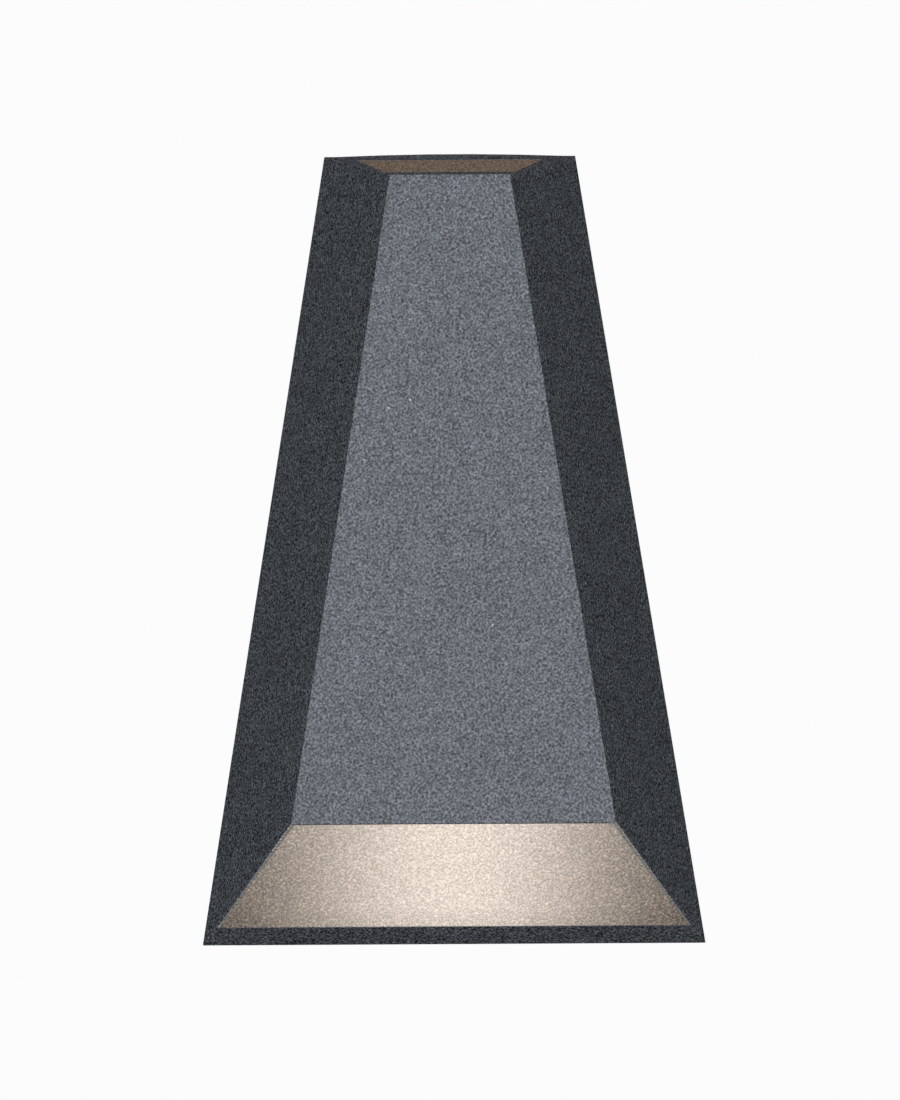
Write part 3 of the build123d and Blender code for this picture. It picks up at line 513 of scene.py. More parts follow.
@dataclass(frozen=True)
class SandCoat(GrainedFinish):
    """Sand-textured powder coat, with a painted highlight beside the lower window and painted shade on the
    sides and in the screw holes.
    """

    # Painted shade: stronger grain contrast on the slopes, for the relief's shade where the light grazes
    slope_shade_spread: float
    # Painted shade: darker colour of the sides, where the light grazes the grain
    side_shade_colour: Colour
    # Painted shade: dark colour of the screw holes' walls
    hole_shade_colour: Colour
    # Painted glints: colour of the small bright points
    speck_colour: Colour
    # Painted highlight: pale colour of the lower window's slanted edges
    lip_highlight_colour: Colour
    specks: float
    bump_depth: float
    lip_width: float
    lip_start: float
    lip_trim: float
    lip_front_gap: float = 0.3 * MM
    lip_grain: float = 0.35
    turned_away: float = 0.5
    turned_to: float = 0.9
    wedge: Wedge = Wedge()
    holes: ScrewHole = ScrewHole()
    patches: ClassVar[float] = 60.0
    patch_spread: ClassVar[float] = 0.03

    def facing(self, pen: NodePen, axis: str, start: float, end: float) -> Socket:
        """Ease from one number to another as a face turns to an axis.

        Args:
            pen: Pen in the material's tree.
            axis: X, Y or Z.
            start: Result on a face that is turned away from the axis.
            end: Result on a face that is turned to the axis, either way.

        Returns:
            The output socket.
        """
        normal = pen.node("ShaderNodeTexCoord").outputs["Normal"]
        share = pen.math("ABSOLUTE", pen.node("ShaderNodeSeparateXYZ", {0: normal}).outputs[axis])
        return pen.ramp(share, self.turned_away, self.turned_to, start, end)

    def contrast(self, pen: NodePen) -> Any:
        """Give the contrast of the grain, which is stronger on faces that slope away from the front: painted
        shade of the grain's relief where the light grazes it.
        """
        return self.facing(pen, "Y", self.slope_shade_spread, self.spread)

    def lip_highlight_mask(self, pen: NodePen, axes: Sockets) -> Socket:
        """Find the two slanted edges of the lower window, which get a painted highlight.

        Args:
            pen: Pen in the material's tree.
            axes: Object coordinates.

        Returns:
            A socket that is 1 on the edges and 0 elsewhere.
        """
        gap = self.wedge.side_gap(pen, axes)
        trim = pen.ramp(axes["Y"], -self.wedge.depth, -self.lip_start, 0.0, self.lip_trim)
        outer = pen.math("GREATER_THAN", gap, trim)
        inner = pen.math("LESS_THAN", gap, self.lip_width)
        low = pen.ramp(self.wedge.floor_gap(pen, axes), self.lip_width / 2, self.lip_width, 1.0, 0.0)
        ahead = pen.math("LESS_THAN", axes["Y"], -self.lip_start)
        behind = pen.math("GREATER_THAN", axes["Y"], self.lip_front_gap - self.wedge.depth)
        mask = outer
        for part in (inner, low, ahead, behind):
            mask = pen.math("MULTIPLY", mask, part)
        return mask

    def paint(self, pen: NodePen, shader: bpy.types.Node) -> None:
        """Paint grain, painted glints, painted shade on the sides and in the screw holes, and a painted
        highlight on the lower window's edges.

        Args:
            pen: Pen in the material's tree.
            shader: The material's Principled BSDF.
        """
        grain = self.grain(pen, self.specks)
        axes = pen.axes()
        tone = pen.math("MULTIPLY", grain["Tone"], self.mottle(pen))
        # Painted shade: the sides take a darker colour, for the light that grazes the grain
        side_shaded = pen.mix(self.facing(pen, "X", 0.0, 1.0), self.colour, self.side_shade_colour)
        # Painted shade: the walls of the screw holes take a dark colour
        hole_shaded = pen.mix(self.holes.mask(pen, axes), side_shaded, self.hole_shade_colour)
        coat = pen.mix(1.0, hole_shaded, tone, "MULTIPLY")
        # Painted highlight on the slanted edges of the lower window
        highlight = pen.mix(self.lip_grain, self.lip_highlight_colour, tone, "MULTIPLY")
        highlighted = pen.mix(self.lip_highlight_mask(pen, axes), coat, highlight)
        # Painted glints: bright points in the colour, as the coat has no specular reflection
        pen.feed(shader.inputs["Base Color"], pen.mix(grain["Speck"], highlighted, self.speck_colour))
        pen.feed(shader.inputs["Specular IOR Level"], 0.0)
        pen.feed(shader.inputs["Normal"], self.bump(pen, grain["Height"], self.bump_depth))


@dataclass(frozen=True)
class OpalPane(GrainedFinish):
    """Tinted satin pane, lit from behind by a lamp whose light falls off to both sides."""

    glow: Colour
    reach: float
    rear_edge: float
    rear_fade: float
    fade_length: float = 14.0 * MM
    glow_grain: float = 0.2
    bump_depth: float = 0.04 * MM

    def paint(self, pen: NodePen, shader: bpy.types.Node) -> None:
        """Paint the pane's grain and its glow.

        Args:
            pen: Pen in the material's tree.
            shader: The material's Principled BSDF.
        """
        grain = self.grain(pen)
        axes = pen.axes()
        square = pen.math("MULTIPLY", axes["X"], axes["X"])
        fall = pen.math("EXPONENT", pen.math("MULTIPLY", square, -1 / (2 * self.reach**2)))
        depth = pen.math("MULTIPLY", axes["Y"], -1.0)
        fade = pen.ramp(depth, self.rear_edge, self.rear_edge + self.fade_length, self.rear_fade, 1.0)
        swing = pen.math("SUBTRACT", grain["Tone"], 1.0)
        shimmer = pen.math("MULTIPLY_ADD", swing, self.glow_grain, 1.0)
        light = pen.math("MULTIPLY", pen.math("MULTIPLY", fall, fade), shimmer)
        pen.feed(shader.inputs["Base Color"], pen.mix(1.0, self.colour, grain["Tone"], "MULTIPLY"))
        pen.feed(shader.inputs["Emission Color"], pen.mix(1.0, self.glow, light, "MULTIPLY"))
        pen.feed(shader.inputs["Emission Strength"], 1.0)
        pen.feed(shader.inputs["Specular IOR Level"], 0.0)
        pen.feed(shader.inputs["Normal"], self.bump(pen, grain["Height"], self.bump_depth))


@dataclass(frozen=True)
class SheetMetal(Finish):
    """Bare or plated metal with its rolling, brushing or turning lines, per metre along X, Y and Z."""

    lines: Triple
    spread: float = 0.12
    bump_depth: float = 0.01 * MM
    patches: ClassVar[float] = 90.0
    patch_spread: ClassVar[float] = 0.06

    def paint(self, pen: NodePen, shader: bpy.types.Node) -> None:
        """Paint lines into the colour, the gloss and the surface.

        Args:
            pen: Pen in the material's tree.
            shader: The material's Principled BSDF.
        """
        grain = SheetGrain.put(pen, {"Lines": self.lines, "Spread": self.spread})
        tone = pen.math("MULTIPLY", grain["Tone"], self.mottle(pen))
        pen.feed(shader.inputs["Base Color"], pen.mix(1.0, self.colour, tone, "MULTIPLY"))
        pen.feed(shader.inputs["Roughness"], pen.math("MULTIPLY", tone, self.roughness))
        pen.feed(shader.inputs["Metallic"], 1.0)
        pen.feed(shader.inputs["Normal"], self.bump(pen, grain["Height"], self.bump_depth))


@dataclass(frozen=True)
class Moulding(GrainedFinish):
    """Moulded plastic, rubber, foam or board with soft patches and a fine eroded grain."""

    grains: float = 2600.0
    spread: float = 0.05
    stretch: Triple = (1.0, 1.0, 1.0)
    bump_depth: float = 0.02 * MM
    patches: ClassVar[float] = 120.0
    patch_spread: ClassVar[float] = 0.05

    def tint(self, pen: NodePen) -> Any:
        """Give the colour before its grain."""
        return self.colour

    def paint(self, pen: NodePen, shader: bpy.types.Node) -> None:
        """Paint patches and grain.

        Args:
            pen: Pen in the material's tree.
            shader: The material's Principled BSDF.
        """
        grain = self.grain(pen)
        patches = self.mottle(pen)
        tone = pen.math("MULTIPLY", grain["Tone"], patches)
        pen.feed(shader.inputs["Base Color"], pen.mix(1.0, self.tint(pen), tone, "MULTIPLY"))
        pen.feed(shader.inputs["Roughness"], pen.math("MULTIPLY", patches, self.roughness))
        pen.feed(shader.inputs["Normal"], self.bump(pen, grain["Height"], self.bump_depth))


@dataclass(frozen=True)
class BandedSleeve(Moulding):
    """Wire sleeve in two colours, in slanting bands."""

    second: Colour = (0.0, 0.0, 0.0, 1.0)
    bands: float = 1400.0
    band_split: float = 0.1

    def tint(self, pen: NodePen) -> Any:
        """Choose one colour or the other by where a point lies along the wire.

        Args:
            pen: Pen in the material's tree.

        Returns:
            The output socket.
        """
        axes = pen.axes()
        along = pen.math("ADD", pen.math("ADD", axes["X"], axes["Z"]), axes["Y"])
        wave = pen.math("SINE", pen.math("MULTIPLY", along, self.bands))
        return pen.mix(pen.math("GREATER_THAN", wave, self.band_split), self.colour, self.second)


# Each finish has its slot, colour and roughness first
FINISHES: dict[str, Finish] = {
    finish.slot: finish
    for finish in (
        SandCoat(
            "sand_anthracite", srgb(108, 111, 118), 0.85,
            # Painted shade: stronger grain contrast on the slopes
            grains=1600.0, spread=0.37, stretch=(1.0, 0.58, 1.0), slope_shade_spread=0.64,
            # Painted shade on the sides and in the screw holes
            side_shade_colour=srgb(103, 108, 114), hole_shade_colour=srgb(56, 58, 61),
            # Painted glints and a painted highlight on the lower window's edges
            speck_colour=srgb(196, 198, 201), lip_highlight_colour=srgb(200, 199, 195), specks=0.003,
            bump_depth=0.25 * MM, lip_width=2.2 * MM, lip_start=10.9 * MM, lip_trim=0.4 * MM,
        ),
        OpalPane(
            "opal_lower", (0.32, 0.247, 0.194, 1.0), 0.6,
            grains=1600.0, spread=0.6, stretch=(1.0, 0.5, 1.0), glow=(0.714, 0.632, 0.558, 1.0),
            reach=34.0 * MM, rear_edge=10.7 * MM, rear_fade=0.84,
        ),
        OpalPane(
            "opal_upper", (0.32, 0.247, 0.194, 1.0), 0.6,
            grains=1600.0, spread=0.6, stretch=(1.0, 0.4, 1.0), glow=(0.034, 0.024, 0.016, 1.0),
            reach=500.0 * MM, rear_edge=14.0 * MM, rear_fade=1.0,
        ),
        SheetMetal("zinc_steel", srgb(186, 190, 194), 0.42, lines=(700.0, 700.0, 40.0)),
        SheetMetal("stainless", srgb(196, 195, 192), 0.3, lines=(900.0, 900.0, 900.0)),
        SheetMetal("plated_screw", srgb(204, 202, 196), 0.28, lines=(1200.0, 1200.0, 1200.0)),
        SheetMetal("brass", srgb(206, 168, 98), 0.34, lines=(900.0, 900.0, 120.0)),
        SheetMetal("aluminium_sheet", srgb(208, 210, 213), 0.4, lines=(40.0, 700.0, 700.0)),
        SheetMetal("tinned_copper", srgb(198, 192, 184), 0.38, lines=(800.0, 800.0, 800.0)),
        Moulding("silicone_grey", srgb(146, 147, 148), 0.6),
        Moulding("foam_black", srgb(34, 34, 35), 0.95, grains=1300.0, spread=0.25, bump_depth=0.2 * MM),
        Moulding("board_white", srgb(232, 233, 230), 0.45, spread=0.02),
        Moulding("phosphor", srgb(240, 204, 92), 0.4, spread=0.08),
        Moulding("driver_plastic", srgb(226, 226, 222), 0.5),
        Moulding("circuit_green", srgb(34, 92, 58), 0.4, grains=900.0, spread=0.1),
        Moulding("ferrite", srgb(58, 56, 56), 0.7, spread=0.12),
        Moulding("capacitor_sleeve", srgb(30, 34, 62), 0.35, spread=0.02),
        Moulding("terminal_plastic", srgb(232, 230, 222), 0.5),
        Moulding("wire_brown", srgb(98, 58, 36), 0.45, spread=0.02),
        Moulding("wire_blue", srgb(38, 92, 172), 0.45, spread=0.02),
        Moulding("lead_white", srgb(226, 226, 222), 0.45, spread=0.02),
        Moulding("vent_plastic", srgb(42, 43, 45), 0.55),
        BandedSleeve("wire_earth", srgb(56, 138, 62), 0.45, spread=0.02, second=srgb(228, 204, 52)),
    )
}


class RepeatTree:
    """A Geometry Nodes tree with named inputs, which makes a form that repeats or winds."""

    def __init__(self, label: str, inputs: dict[str, str]) -> None:
        """Start a tree.

        Args:
            label: Name of the tree.
            inputs: Socket types by the names of the inputs.
        """
        self.tree = bpy.data.node_groups.new(label, "GeometryNodeTree")
        face = self.tree.interface
        face.new_socket("Geometry", in_out="OUTPUT", socket_type="NodeSocketGeometry")
        face.new_socket("Piece", in_out="INPUT", socket_type="NodeSocketGeometry")
        self.keys: dict[str, str] = {}
        for name, kind in {**inputs, "Finish": "NodeSocketMaterial"}.items():
            self.keys[name] = face.new_socket(name, in_out="INPUT", socket_type=kind).identifier
        self.pen = NodePen(self.tree)
        self.inlet = self.pen.node("NodeGroupInput").outputs

    def close(self, geometry: Socket) -> None:
        """End the tree with real faces and their finish.

        Args:
            geometry: The form, as instances or as a mesh.
        """
        real = self.pen.node("GeometryNodeRealizeInstances", {0: geometry}).outputs[0]
        inputs = {"Geometry": real, "Material": self.inlet["Finish"]}
        done = self.pen.node("GeometryNodeSetMaterial", inputs).outputs[0]
        self.pen.node("NodeGroupOutput", {0: done})

    def grow(self, unit: bpy.types.Mesh, values: dict[str, Any]) -> bpy.types.Mesh:
        """Run the tree once.

        Args:
            unit: Mesh of the piece that repeats; a winding form ignores it.
            values: A value for each named input.

        Returns:
            A plain mesh in the tree's own place.
        """
        holder = bpy.data.objects.new("holder", unit)
        bpy.context.scene.collection.objects.link(holder)
        modifier = holder.modifiers.new("repeat", "NODES")
        modifier.node_group = self.tree
        for name, value in values.items():
            modifier[self.keys[name]] = value
        graph = bpy.context.evaluated_depsgraph_get()
        mesh = bpy.data.meshes.new_from_object(holder.evaluated_get(graph))
        holder.modifiers.remove(modifier)
        bpy.data.objects.remove(holder)
        return mesh


class RowsTree(RepeatTree):
    """Sets a piece out in rows and columns on the XY plane."""

    def __init__(self) -> None:
        """Build the tree."""
        sizes = {"Width": "NodeSocketFloat", "Length": "NodeSocketFloat"}
        counts = {"Columns": "NodeSocketInt", "Rows": "NodeSocketInt"}
        super().__init__("rows", {**sizes, **counts})
        inlet = self.inlet
        inputs = {
            "Size X": inlet["Width"],
            "Size Y": inlet["Length"],
            "Vertices X": inlet["Columns"],
            "Vertices Y": inlet["Rows"],
        }
        grid = self.pen.node("GeometryNodeMeshGrid", inputs).outputs["Mesh"]
        inputs = {"Points": grid, "Instance": inlet["Piece"]}
        self.close(self.pen.node("GeometryNodeInstanceOnPoints", inputs).outputs[0])


class RingTree(RepeatTree):
    """Sets a piece out round the Z axis, with its X axis along the ring."""

    circle_steps: ClassVar[int] = 64

    def __init__(self) -> None:
        """Build the tree."""
        super().__init__("ring", {"Radius": "NodeSocketFloat", "Count": "NodeSocketInt"})
        inputs = {"Resolution": self.circle_steps, "Radius": self.inlet["Radius"]}
        circle = self.pen.node("GeometryNodeCurvePrimitiveCircle", inputs).outputs["Curve"]
        points = self.pen.node("GeometryNodeCurveToPoints", {"Curve": circle, "Count": self.inlet["Count"]})
        tangent = points.outputs["Tangent"]
        turn = self.pen.node("FunctionNodeAlignRotationToVector", {"Vector": tangent}, axis="X").outputs[0]
        inputs = {"Points": points.outputs["Points"], "Instance": self.inlet["Piece"], "Rotation": turn}
        self.close(self.pen.node("GeometryNodeInstanceOnPoints", inputs).outputs[0])


class ThreadTree(RepeatTree):
    """Winds a rounded ridge up the Z axis."""

    turn_steps: ClassVar[int] = 24
    ridge_sides: ClassVar[int] = 6

    def __init__(self) -> None:
        """Build the tree."""
        names = ("Radius", "Ridge", "Turns", "Length")
        super().__init__("thread", {name: "NodeSocketFloat" for name in names})
        inlet = self.inlet
        inputs = {
            "Resolution": self.turn_steps,
            "Rotations": inlet["Turns"],
            "Start Radius": inlet["Radius"],
            "End Radius": inlet["Radius"],
            "Height": inlet["Length"],
        }
        helix = self.pen.node("GeometryNodeCurveSpiral", inputs).outputs[0]
        inputs = {"Resolution": self.ridge_sides, "Radius": inlet["Ridge"]}
        profile = self.pen.node("GeometryNodeCurvePrimitiveCircle", inputs).outputs["Curve"]
        inputs = {"Curve": helix, "Profile Curve": profile, "Fill Caps": True}
        self.close(self.pen.node("GeometryNodeCurveToMesh", inputs).outputs[0])


def mesh_from(form: bmesh.types.BMesh, name: str) -> bpy.types.Mesh:
    """Turn a form into a mesh and free it.

    Args:
        form: The form.
        name: Name of the mesh.

    Returns:
        The mesh.
    """
    mesh = bpy.data.meshes.new(name)
    form.to_mesh(mesh)
    form.free()
    return mesh


def rounded_bar(size: Vector, edge: float, name: str) -> bpy.types.Mesh:
    """Make a bar with rounded edges, its middle at the origin.

    Args:
        size: Size along X, Y and Z.
        edge: Radius of the edges.
        name: Name of the mesh.

    Returns:
        The mesh.
    """
    form = bmesh.new()
    bmesh.ops.create_cube(form, size=1.0)
    bmesh.ops.scale(form, vec=size, verts=form.verts)
    bmesh.ops.bevel(
        form, geom=form.edges, offset=edge, segments=EDGE_SEGMENTS, affect="EDGES", profile=ROUND_PROFILE
    )
    return mesh_from(form, name)


def low_dome(radius: float, height: float, name: str) -> bpy.types.Mesh:
    """Make a shallow closed dome that stands on the XY plane.

    Args:
        radius: Radius at its foot.
        height: Height of its crown.
        name: Name of the mesh.

    Returns:
        The mesh.
    """
    form = bmesh.new()
    crown = form.verts.new((0, 0, height))
    rings = []
    for step in range(1, DOME_RINGS):
        tilt = math.pi * step / DOME_RINGS
        reach = radius * math.sin(tilt)
        level = max(height * math.cos(tilt), 0.0)
        ring = []
        for side in range(DOME_SEGMENTS):
            angle = 2 * math.pi * side / DOME_SEGMENTS
            ring.append(form.verts.new((reach * math.cos(angle), reach * math.sin(angle), level)))
        rings.append(ring)
    foot = form.verts.new((0, 0, 0))
    for side in range(DOME_SEGMENTS):
        after = (side + 1) % DOME_SEGMENTS
        form.faces.new((crown, rings[0][side], rings[0][after]))
        for upper, lower in zip(rings, rings[1:]):
            form.faces.new((upper[side], lower[side], lower[after], upper[after]))
        form.faces.new((rings[-1][side], foot, rings[-1][after]))
    return mesh_from(form, name)


def add_piece(name: str, mesh: bpy.types.Mesh, body: str, slot: str) -> bpy.types.Object:
    """Add a piece that rides on a body of the frame.

    Args:
        name: Name of the piece.
        mesh: Mesh of the piece, in its place.
        body: Body that it rides on.
        slot: Slot of its finish.

    Returns:
        The piece.
    """
    mesh.materials.clear()
    mesh.materials.append(FINISHES[slot].material())
    mesh.name = name
    piece = bpy.data.objects.new(name, mesh)
    bpy.context.scene.collection.objects.link(piece)
    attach(piece, body)
    return piece


@dataclass
class SubAssembly:
    """Nodes of the frame that belong together, and the fine pieces that are added to them."""

    nodes: tuple[str, ...]
    body: str

    def dress(self) -> None:
        """Give each node the finish of its slot."""
        for node in self.nodes:
            mesh = frame["nodes"][node].data
            mesh.materials.clear()
            mesh.materials.append(FINISHES[SLOT_OF[node]].material())

    def build(self) -> list[bpy.types.Object]:
        """Build the fine pieces; most sub-assemblies have none."""
        return []


class Along(Enum):
    """Direction of a rod from its foot, as a turn from +Z."""

    UP = Matrix.Identity(4)
    OUT = Matrix.Rotation(math.radians(90), 4, "X")


@dataclass
class ThreadedRod(SubAssembly):
    """A screw or stud that is remade with a thread wound on its core."""

    along: Along = Along.UP
    core: float = 1.7 * MM
    ridge: float = 0.28 * MM
    pitch: float = 0.7 * MM
    end_gap: float = 0.6 * MM
    weld: float = 0.001 * MM

    def seat(self) -> tuple[Matrix, float, float]:
        """Measure the rod in the frame.

        Returns:
            The rod's place, its length and its radius.
        """
        low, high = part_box(self.nodes[0])
        middle = (low + high) / 2
        if self.along is Along.UP:
            foot = Vector((middle.x, middle.y, low.z))
            length = high.z - low.z
        else:
            foot = Vector((middle.x, high.y, middle.z))
            length = high.y - low.y
        return Matrix.Translation(foot) @ self.along.value, length, (high.x - low.x) / 2

    def thread(self, length: float, radius: float, slot: str) -> bpy.types.Mesh:
        """Wind the thread, with the rod's foot at the origin.

        Args:
            length: Length of the rod.
            radius: Radius of the rod over its thread.
            slot: Slot of its finish.

        Returns:
            The thread's mesh.
        """
        run = length - 2 * self.end_gap
        values = {
            "Radius": radius - self.ridge,
            "Ridge": self.ridge,
            "Turns": run / self.pitch,
            "Length": run,
            "Finish": FINISHES[slot].material(),
        }
        mesh = ThreadTree().grow(bpy.data.meshes.new("empty"), values)
        mesh.transform(Matrix.Translation((0, 0, self.end_gap)))
        return mesh

    def build(self) -> list[bpy.types.Object]:
        """Draw the rod's skin in to its core and wind the thread on it.

        Returns:
            The rod, which replaces its node.
        """
        node = self.nodes[0]
        slot = SLOT_OF[node]
        place, length, radius = self.seat()
        form = bmesh.new()
        form.from_mesh(frame["nodes"][node].data)
        bmesh.ops.remove_doubles(form, verts=form.verts, dist=self.weld)
        form.transform(place.inverted())
        for vert in form.verts:
            reach = math.hypot(vert.co.x, vert.co.y)
            if reach > self.core:
                vert.co.xy *= self.core / reach
        form.from_mesh(self.thread(length, radius, slot))
        form.transform(place)
        piece = add_piece(f"{node}_threaded", mesh_from(form, node), self.body, slot)
        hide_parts(node)
        return [piece]


class End(Enum):
    """The two sloped ends of the housing."""

    BOTTOM = -1
    TOP = 1


@dataclass
class LightEngine(SubAssembly):
    """A window with its pane, seal and lights; adds the lights' phosphor and the board's pads."""

    end: End = End.BOTTOM
    slope: float = Wedge().end_angle()
    led_width: float = 3.5 * MM
    led_length: float = 2.8 * MM
    led_height: float = 0.7 * MM
    led_pitch: float = 8.0 * MM
    led_rows: int = 2
    dome_radius: float = 1.15 * MM
    dome_height: float = 0.3 * MM
    pad_length: float = 1.0 * MM
    pad_width: float = 2.2 * MM
    pad_height: float = 0.12 * MM
    pad_edge: float = 0.04 * MM

    def grid(self, out: float) -> tuple[Matrix, dict[str, Any]]:
        """Work out the lights' grid.

        Args:
            out: Distance outwards from the middle of the lights.

        Returns:
            The grid's place, and its sizes and counts for the rows tree.
        """
        low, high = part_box(f"{self.end.name.lower()}_leds")
        sign = self.end.value
        cos, sin = math.cos(self.slope), math.sin(self.slope)
        run = Vector((0, -cos, -sign * sin))
        outward = Vector((0, -sin, sign * cos))
        turn = Matrix((run.cross(outward), run, outward)).transposed().to_4x4()
        width = high.x - low.x - self.led_width
        length = (high.y - low.y - self.led_height * sin) / cos - self.led_length
        columns = round(width / self.led_pitch) + 1
        place = Matrix.Translation((low + high) / 2 + outward * out) @ turn
        return place, {"Width": width, "Length": length, "Columns": columns, "Rows": self.led_rows}

    def set_out(self, unit: bpy.types.Mesh, out: float, label: str, slot: str) -> bpy.types.Object:
        """Set a small piece out on the lights' grid.

        Args:
            unit: Mesh of the small piece.
            out: Distance outwards from the middle of the lights.
            label: Name of the result, after the end's own name.
            slot: Slot of its finish.

        Returns:
            The piece with all its copies.
        """
        place, sizes = self.grid(out)
        mesh = RowsTree().grow(unit, {**sizes, "Finish": FINISHES[slot].material()})
        mesh.transform(place)
        return add_piece(f"{self.end.name.lower()}_{label}", mesh, self.body, slot)

    def pad_pair(self) -> bpy.types.Mesh:
        """Make the two solder pads of a light.

        Returns:
            The pads' mesh, with the light's middle at the origin.
        """
        pair = bmesh.new()
        size = Vector((self.pad_length, self.pad_width, self.pad_height))
        pad = rounded_bar(size, self.pad_edge, "pad")
        for side in (-1, 1):
            pad.transform(Matrix.Translation((side * self.led_width / 2, 0, 0)))
            pair.from_mesh(pad)
            pad.transform(Matrix.Translation((-side * self.led_width / 2, 0, 0)))
        return mesh_from(pair, "pads")

    def build(self) -> list[bpy.types.Object]:
        """Set a phosphor dome on each light, and a solder pad at both its ends.

        Returns:
            The domes and the pads.
        """
        dome = low_dome(self.dome_radius, self.dome_height, "dome")
        face = self.led_height / 2
        return [
            self.set_out(dome, face, "led_phosphor", "phosphor"),
            self.set_out(self.pad_pair(), self.pad_height / 2 - face, "solder_pads", "tinned_copper"),
        ]


@dataclass
class GearTray(SubAssembly):
    """The tray with its seal, screws, grommet and vent; adds the ribs on the vent's cap."""

    rib_count: int = 16
    rib_radius: float = 4.7 * MM
    rib_length: float = 2.2 * MM
    rib_width: float = 0.6 * MM
    rib_height: float = 0.4 * MM
    rib_edge: float = 0.1 * MM

    def build(self) -> list[bpy.types.Object]:
        """Set ribs out round the cap of the vent plug.

        Returns:
            The ribs, as one piece.
        """
        low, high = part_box("vent_plug")
        face = Vector(((low.x + high.x) / 2, high.y, (low.z + high.z) / 2))
        size = Vector((self.rib_width, self.rib_length, 2 * self.rib_height))
        values = {
            "Radius": self.rib_radius,
            "Count": self.rib_count,
            "Finish": FINISHES["vent_plastic"].material(),
        }
        mesh = RingTree().grow(rounded_bar(size, self.rib_edge, "rib"), values)
        mesh.transform(Matrix.Translation(face) @ Matrix.Rotation(math.radians(-90), 4, "X"))
        return [add_piece("vent_plug_ribs", mesh, self.body, "vent_plastic")]


def assemblies() -> list[SubAssembly]:
    """List the light's sub-assemblies.

    Returns:
        The sub-assemblies, from the wall to the front.
    """
    made: list[SubAssembly] = [
        SubAssembly(("wall_bracket", "bracket_earth_washer", "bracket_earth_nut"), "bracket"),
        ThreadedRod(("bracket_earth_stud",), "bracket", along=Along.OUT),
        ThreadedRod(("left_fixing_screw",), "left_screw"),
        ThreadedRod(("right_fixing_screw",), "right_screw"),
        SubAssembly(("housing", "wall_seal"), "lamp"),
        GearTray(
            (
                "gear_tray", "gear_tray_seal", "gear_tray_screws", "feed_through_grommet",
                "vent_plug", "tray_earth_lug", "tray_earth_screw",
            ),
            "lamp",
        ),
        SubAssembly(
            (
                "driver_base", "driver_case", "driver_circuit", "driver_transformer",
                "driver_capacitors", "driver_screws",
            ),
            "lamp",
        ),
        SubAssembly(
            (
                "terminal_block", "terminal_clamps", "terminal_screws", "terminal_fixing_screw",
                "live_wire", "neutral_wire", "earth_wire",
            ),
            "lamp",
        ),
    ]
    pieces = (
        "diffuser", "diffuser_seal", "led_carrier", "carrier_screws",
        "led_board", "board_screws", "leds", "led_leads",
    )
    for end in End:
        names = tuple(f"{end.name.lower()}_{piece}" for piece in pieces)
        made.append(LightEngine(names, "lamp", end=end))
    return made


@dataclass(frozen=True)
class Softbox:
    """A round soft lamp that faces the object."""

    name: str
    place: Triple
    diameter: float
    level: float
    mirrored: bool

    def hang(self) -> None:
        """Add the lamp, at a power at which a white face turned to it shows the level."""
        lamp = bpy.data.lights.new(self.name, "AREA")
        lamp.shape = "DISK"
        lamp.size = self.diameter
        distance = Vector(self.place).length
        lamp.energy = self.level * (math.pi * distance) ** 2
        holder = bpy.data.objects.new(self.name, lamp)
        holder.location = self.place
        holder.rotation_euler = (-Vector(self.place)).to_track_quat("-Z", "Y").to_euler()
        holder.visible_camera = False
        holder.visible_glossy = self.mirrored
        bpy.context.scene.collection.objects.link(holder)


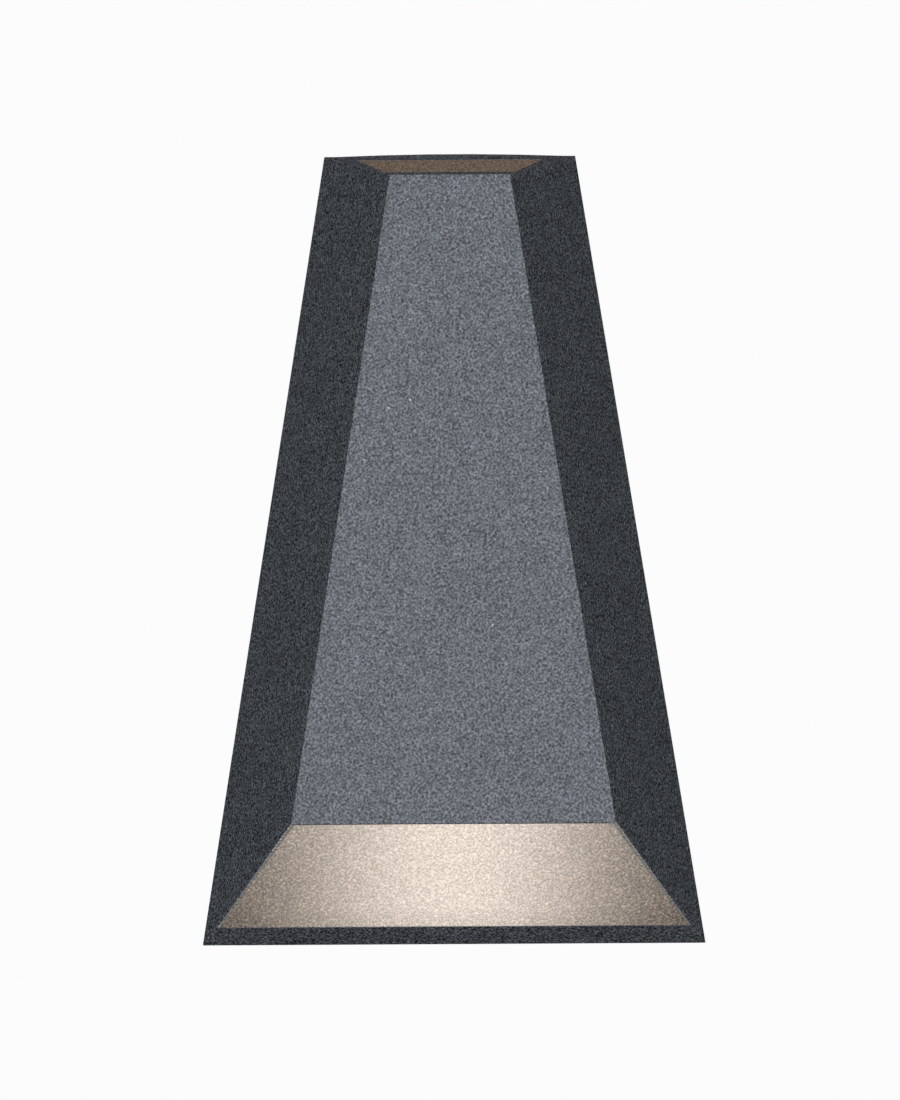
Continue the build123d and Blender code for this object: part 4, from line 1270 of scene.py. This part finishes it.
@dataclass
class Studio:
    """Floor, lamps, background and camera."""

    floor_height: float = -2.0
    floor_size: float = 60.0
    floor_colour: Colour = (0.8, 0.8, 0.8, 1.0)
    floor_paleness: float = 0.9
    floor_near: float = 2.0
    floor_far: float = 12.0
    white: Colour = (0.972, 0.972, 0.972, 1.0)
    ambient: float = 0.01
    photo_height: float = 1100.0
    sensor: float = 36.0
    focal_pixels: float = 5922.0
    near_limit: float = 0.01
    camera_place: Triple = (-0.0006, -1.8, -0.379)
    pitch: float = math.radians(11.84)
    roll: float = math.radians(-0.32)
    lamps: tuple[Softbox, ...] = (
        Softbox("front_softbox", (-0.05, -3.0, 0.0), diameter=1.2, level=1.0, mirrored=True),
        Softbox("rear_left_softbox", (-0.85, 2.9, 0.0), diameter=0.8, level=0.45, mirrored=False),
        Softbox("rear_right_softbox", (0.85, 2.9, 0.0), diameter=0.8, level=0.45, mirrored=False),
    )

    def background(self) -> None:
        """Show white to the camera and in reflections, and light the object faintly."""
        world = bpy.data.worlds.new("studio")
        world.use_nodes = True
        world.node_tree.nodes.clear()
        pen = NodePen(world.node_tree)
        rays = pen.node("ShaderNodeLightPath").outputs
        seen = pen.math("MAXIMUM", rays["Is Camera Ray"], rays["Is Glossy Ray"])
        seen = pen.math("MAXIMUM", seen, rays["Is Transmission Ray"])
        dim = pen.node("ShaderNodeBackground", {"Color": self.white, "Strength": self.ambient})
        bright = pen.node("ShaderNodeBackground", {"Color": self.white, "Strength": 1.0})
        both = pen.node("ShaderNodeMixShader", {0: seen, 1: dim.outputs[0], 2: bright.outputs[0]})
        pen.node("ShaderNodeOutputWorld", {"Surface": both.outputs[0]})
        bpy.context.scene.world = world

    def floor_finish(self) -> bpy.types.Material:
        """Build the floor's finish, which fades into the background with the distance.

        Returns:
            The material.
        """
        material = bpy.data.materials.new("floor")
        material.use_nodes = True
        material.node_tree.nodes.clear()
        pen = NodePen(material.node_tree)
        rays = pen.node("ShaderNodeLightPath").outputs
        matt = pen.node("ShaderNodeBsdfDiffuse", {"Color": self.floor_colour})
        pale = pen.node("ShaderNodeEmission", {"Color": self.white})
        seen = pen.math("MAXIMUM", rays["Is Camera Ray"], rays["Is Glossy Ray"])
        away = pen.node("ShaderNodeVectorMath", {0: pen.place()}, operation="LENGTH").outputs["Value"]
        paleness = pen.ramp(away, self.floor_near, self.floor_far, self.floor_paleness, 1.0)
        share = pen.math("MULTIPLY", seen, paleness)
        both = pen.node("ShaderNodeMixShader", {0: share, 1: matt.outputs[0], 2: pale.outputs[0]})
        pen.node("ShaderNodeOutputMaterial", {"Surface": both.outputs[0]})
        return material

    def floor(self) -> None:
        """Lay a plain pale floor below the light."""
        form = bmesh.new()
        bmesh.ops.create_grid(form, x_segments=1, y_segments=1, size=self.floor_size / 2)
        bmesh.ops.translate(form, vec=(0, 0, self.floor_height), verts=form.verts)
        floor = bpy.data.objects.new("floor", mesh_from(form, "floor"))
        floor.data.materials.append(self.floor_finish())
        floor.visible_diffuse = False
        bpy.context.scene.collection.objects.link(floor)

    def camera(self) -> None:
        """Stand the camera where the photograph was taken from."""
        lens = bpy.data.cameras.new("camera")
        lens.sensor_width = self.sensor
        lens.lens = self.focal_pixels * self.sensor / self.photo_height
        lens.clip_start = self.near_limit
        camera = bpy.data.objects.new("camera", lens)
        tilt = Matrix.Rotation(math.radians(90) + self.pitch, 4, "X")
        turn = tilt @ Matrix.Rotation(self.roll, 4, "Z")
        camera.matrix_world = Matrix.Translation(self.camera_place) @ turn
        bpy.context.scene.collection.objects.link(camera)
        bpy.context.scene.camera = camera

    def set_up(self) -> None:
        """Set up the whole studio."""
        self.background()
        self.floor()
        for lamp in self.lamps:
            lamp.hang()
        self.camera()
        bpy.context.scene.view_settings.view_transform = "Standard"


def main() -> None:
    """Dress the frame, build the fine pieces and set up the studio."""
    logging.basicConfig(level=logging.INFO, format="%(name)s: %(message)s")
    for assembly in assemblies():
        assembly.dress()
        LOG.info("dressed %s", ", ".join(assembly.nodes))
        for piece in assembly.build():
            LOG.info("built %s with %d faces", piece.name, len(piece.data.polygons))
    Studio().set_up()


if __name__ == "__main__":
    main()
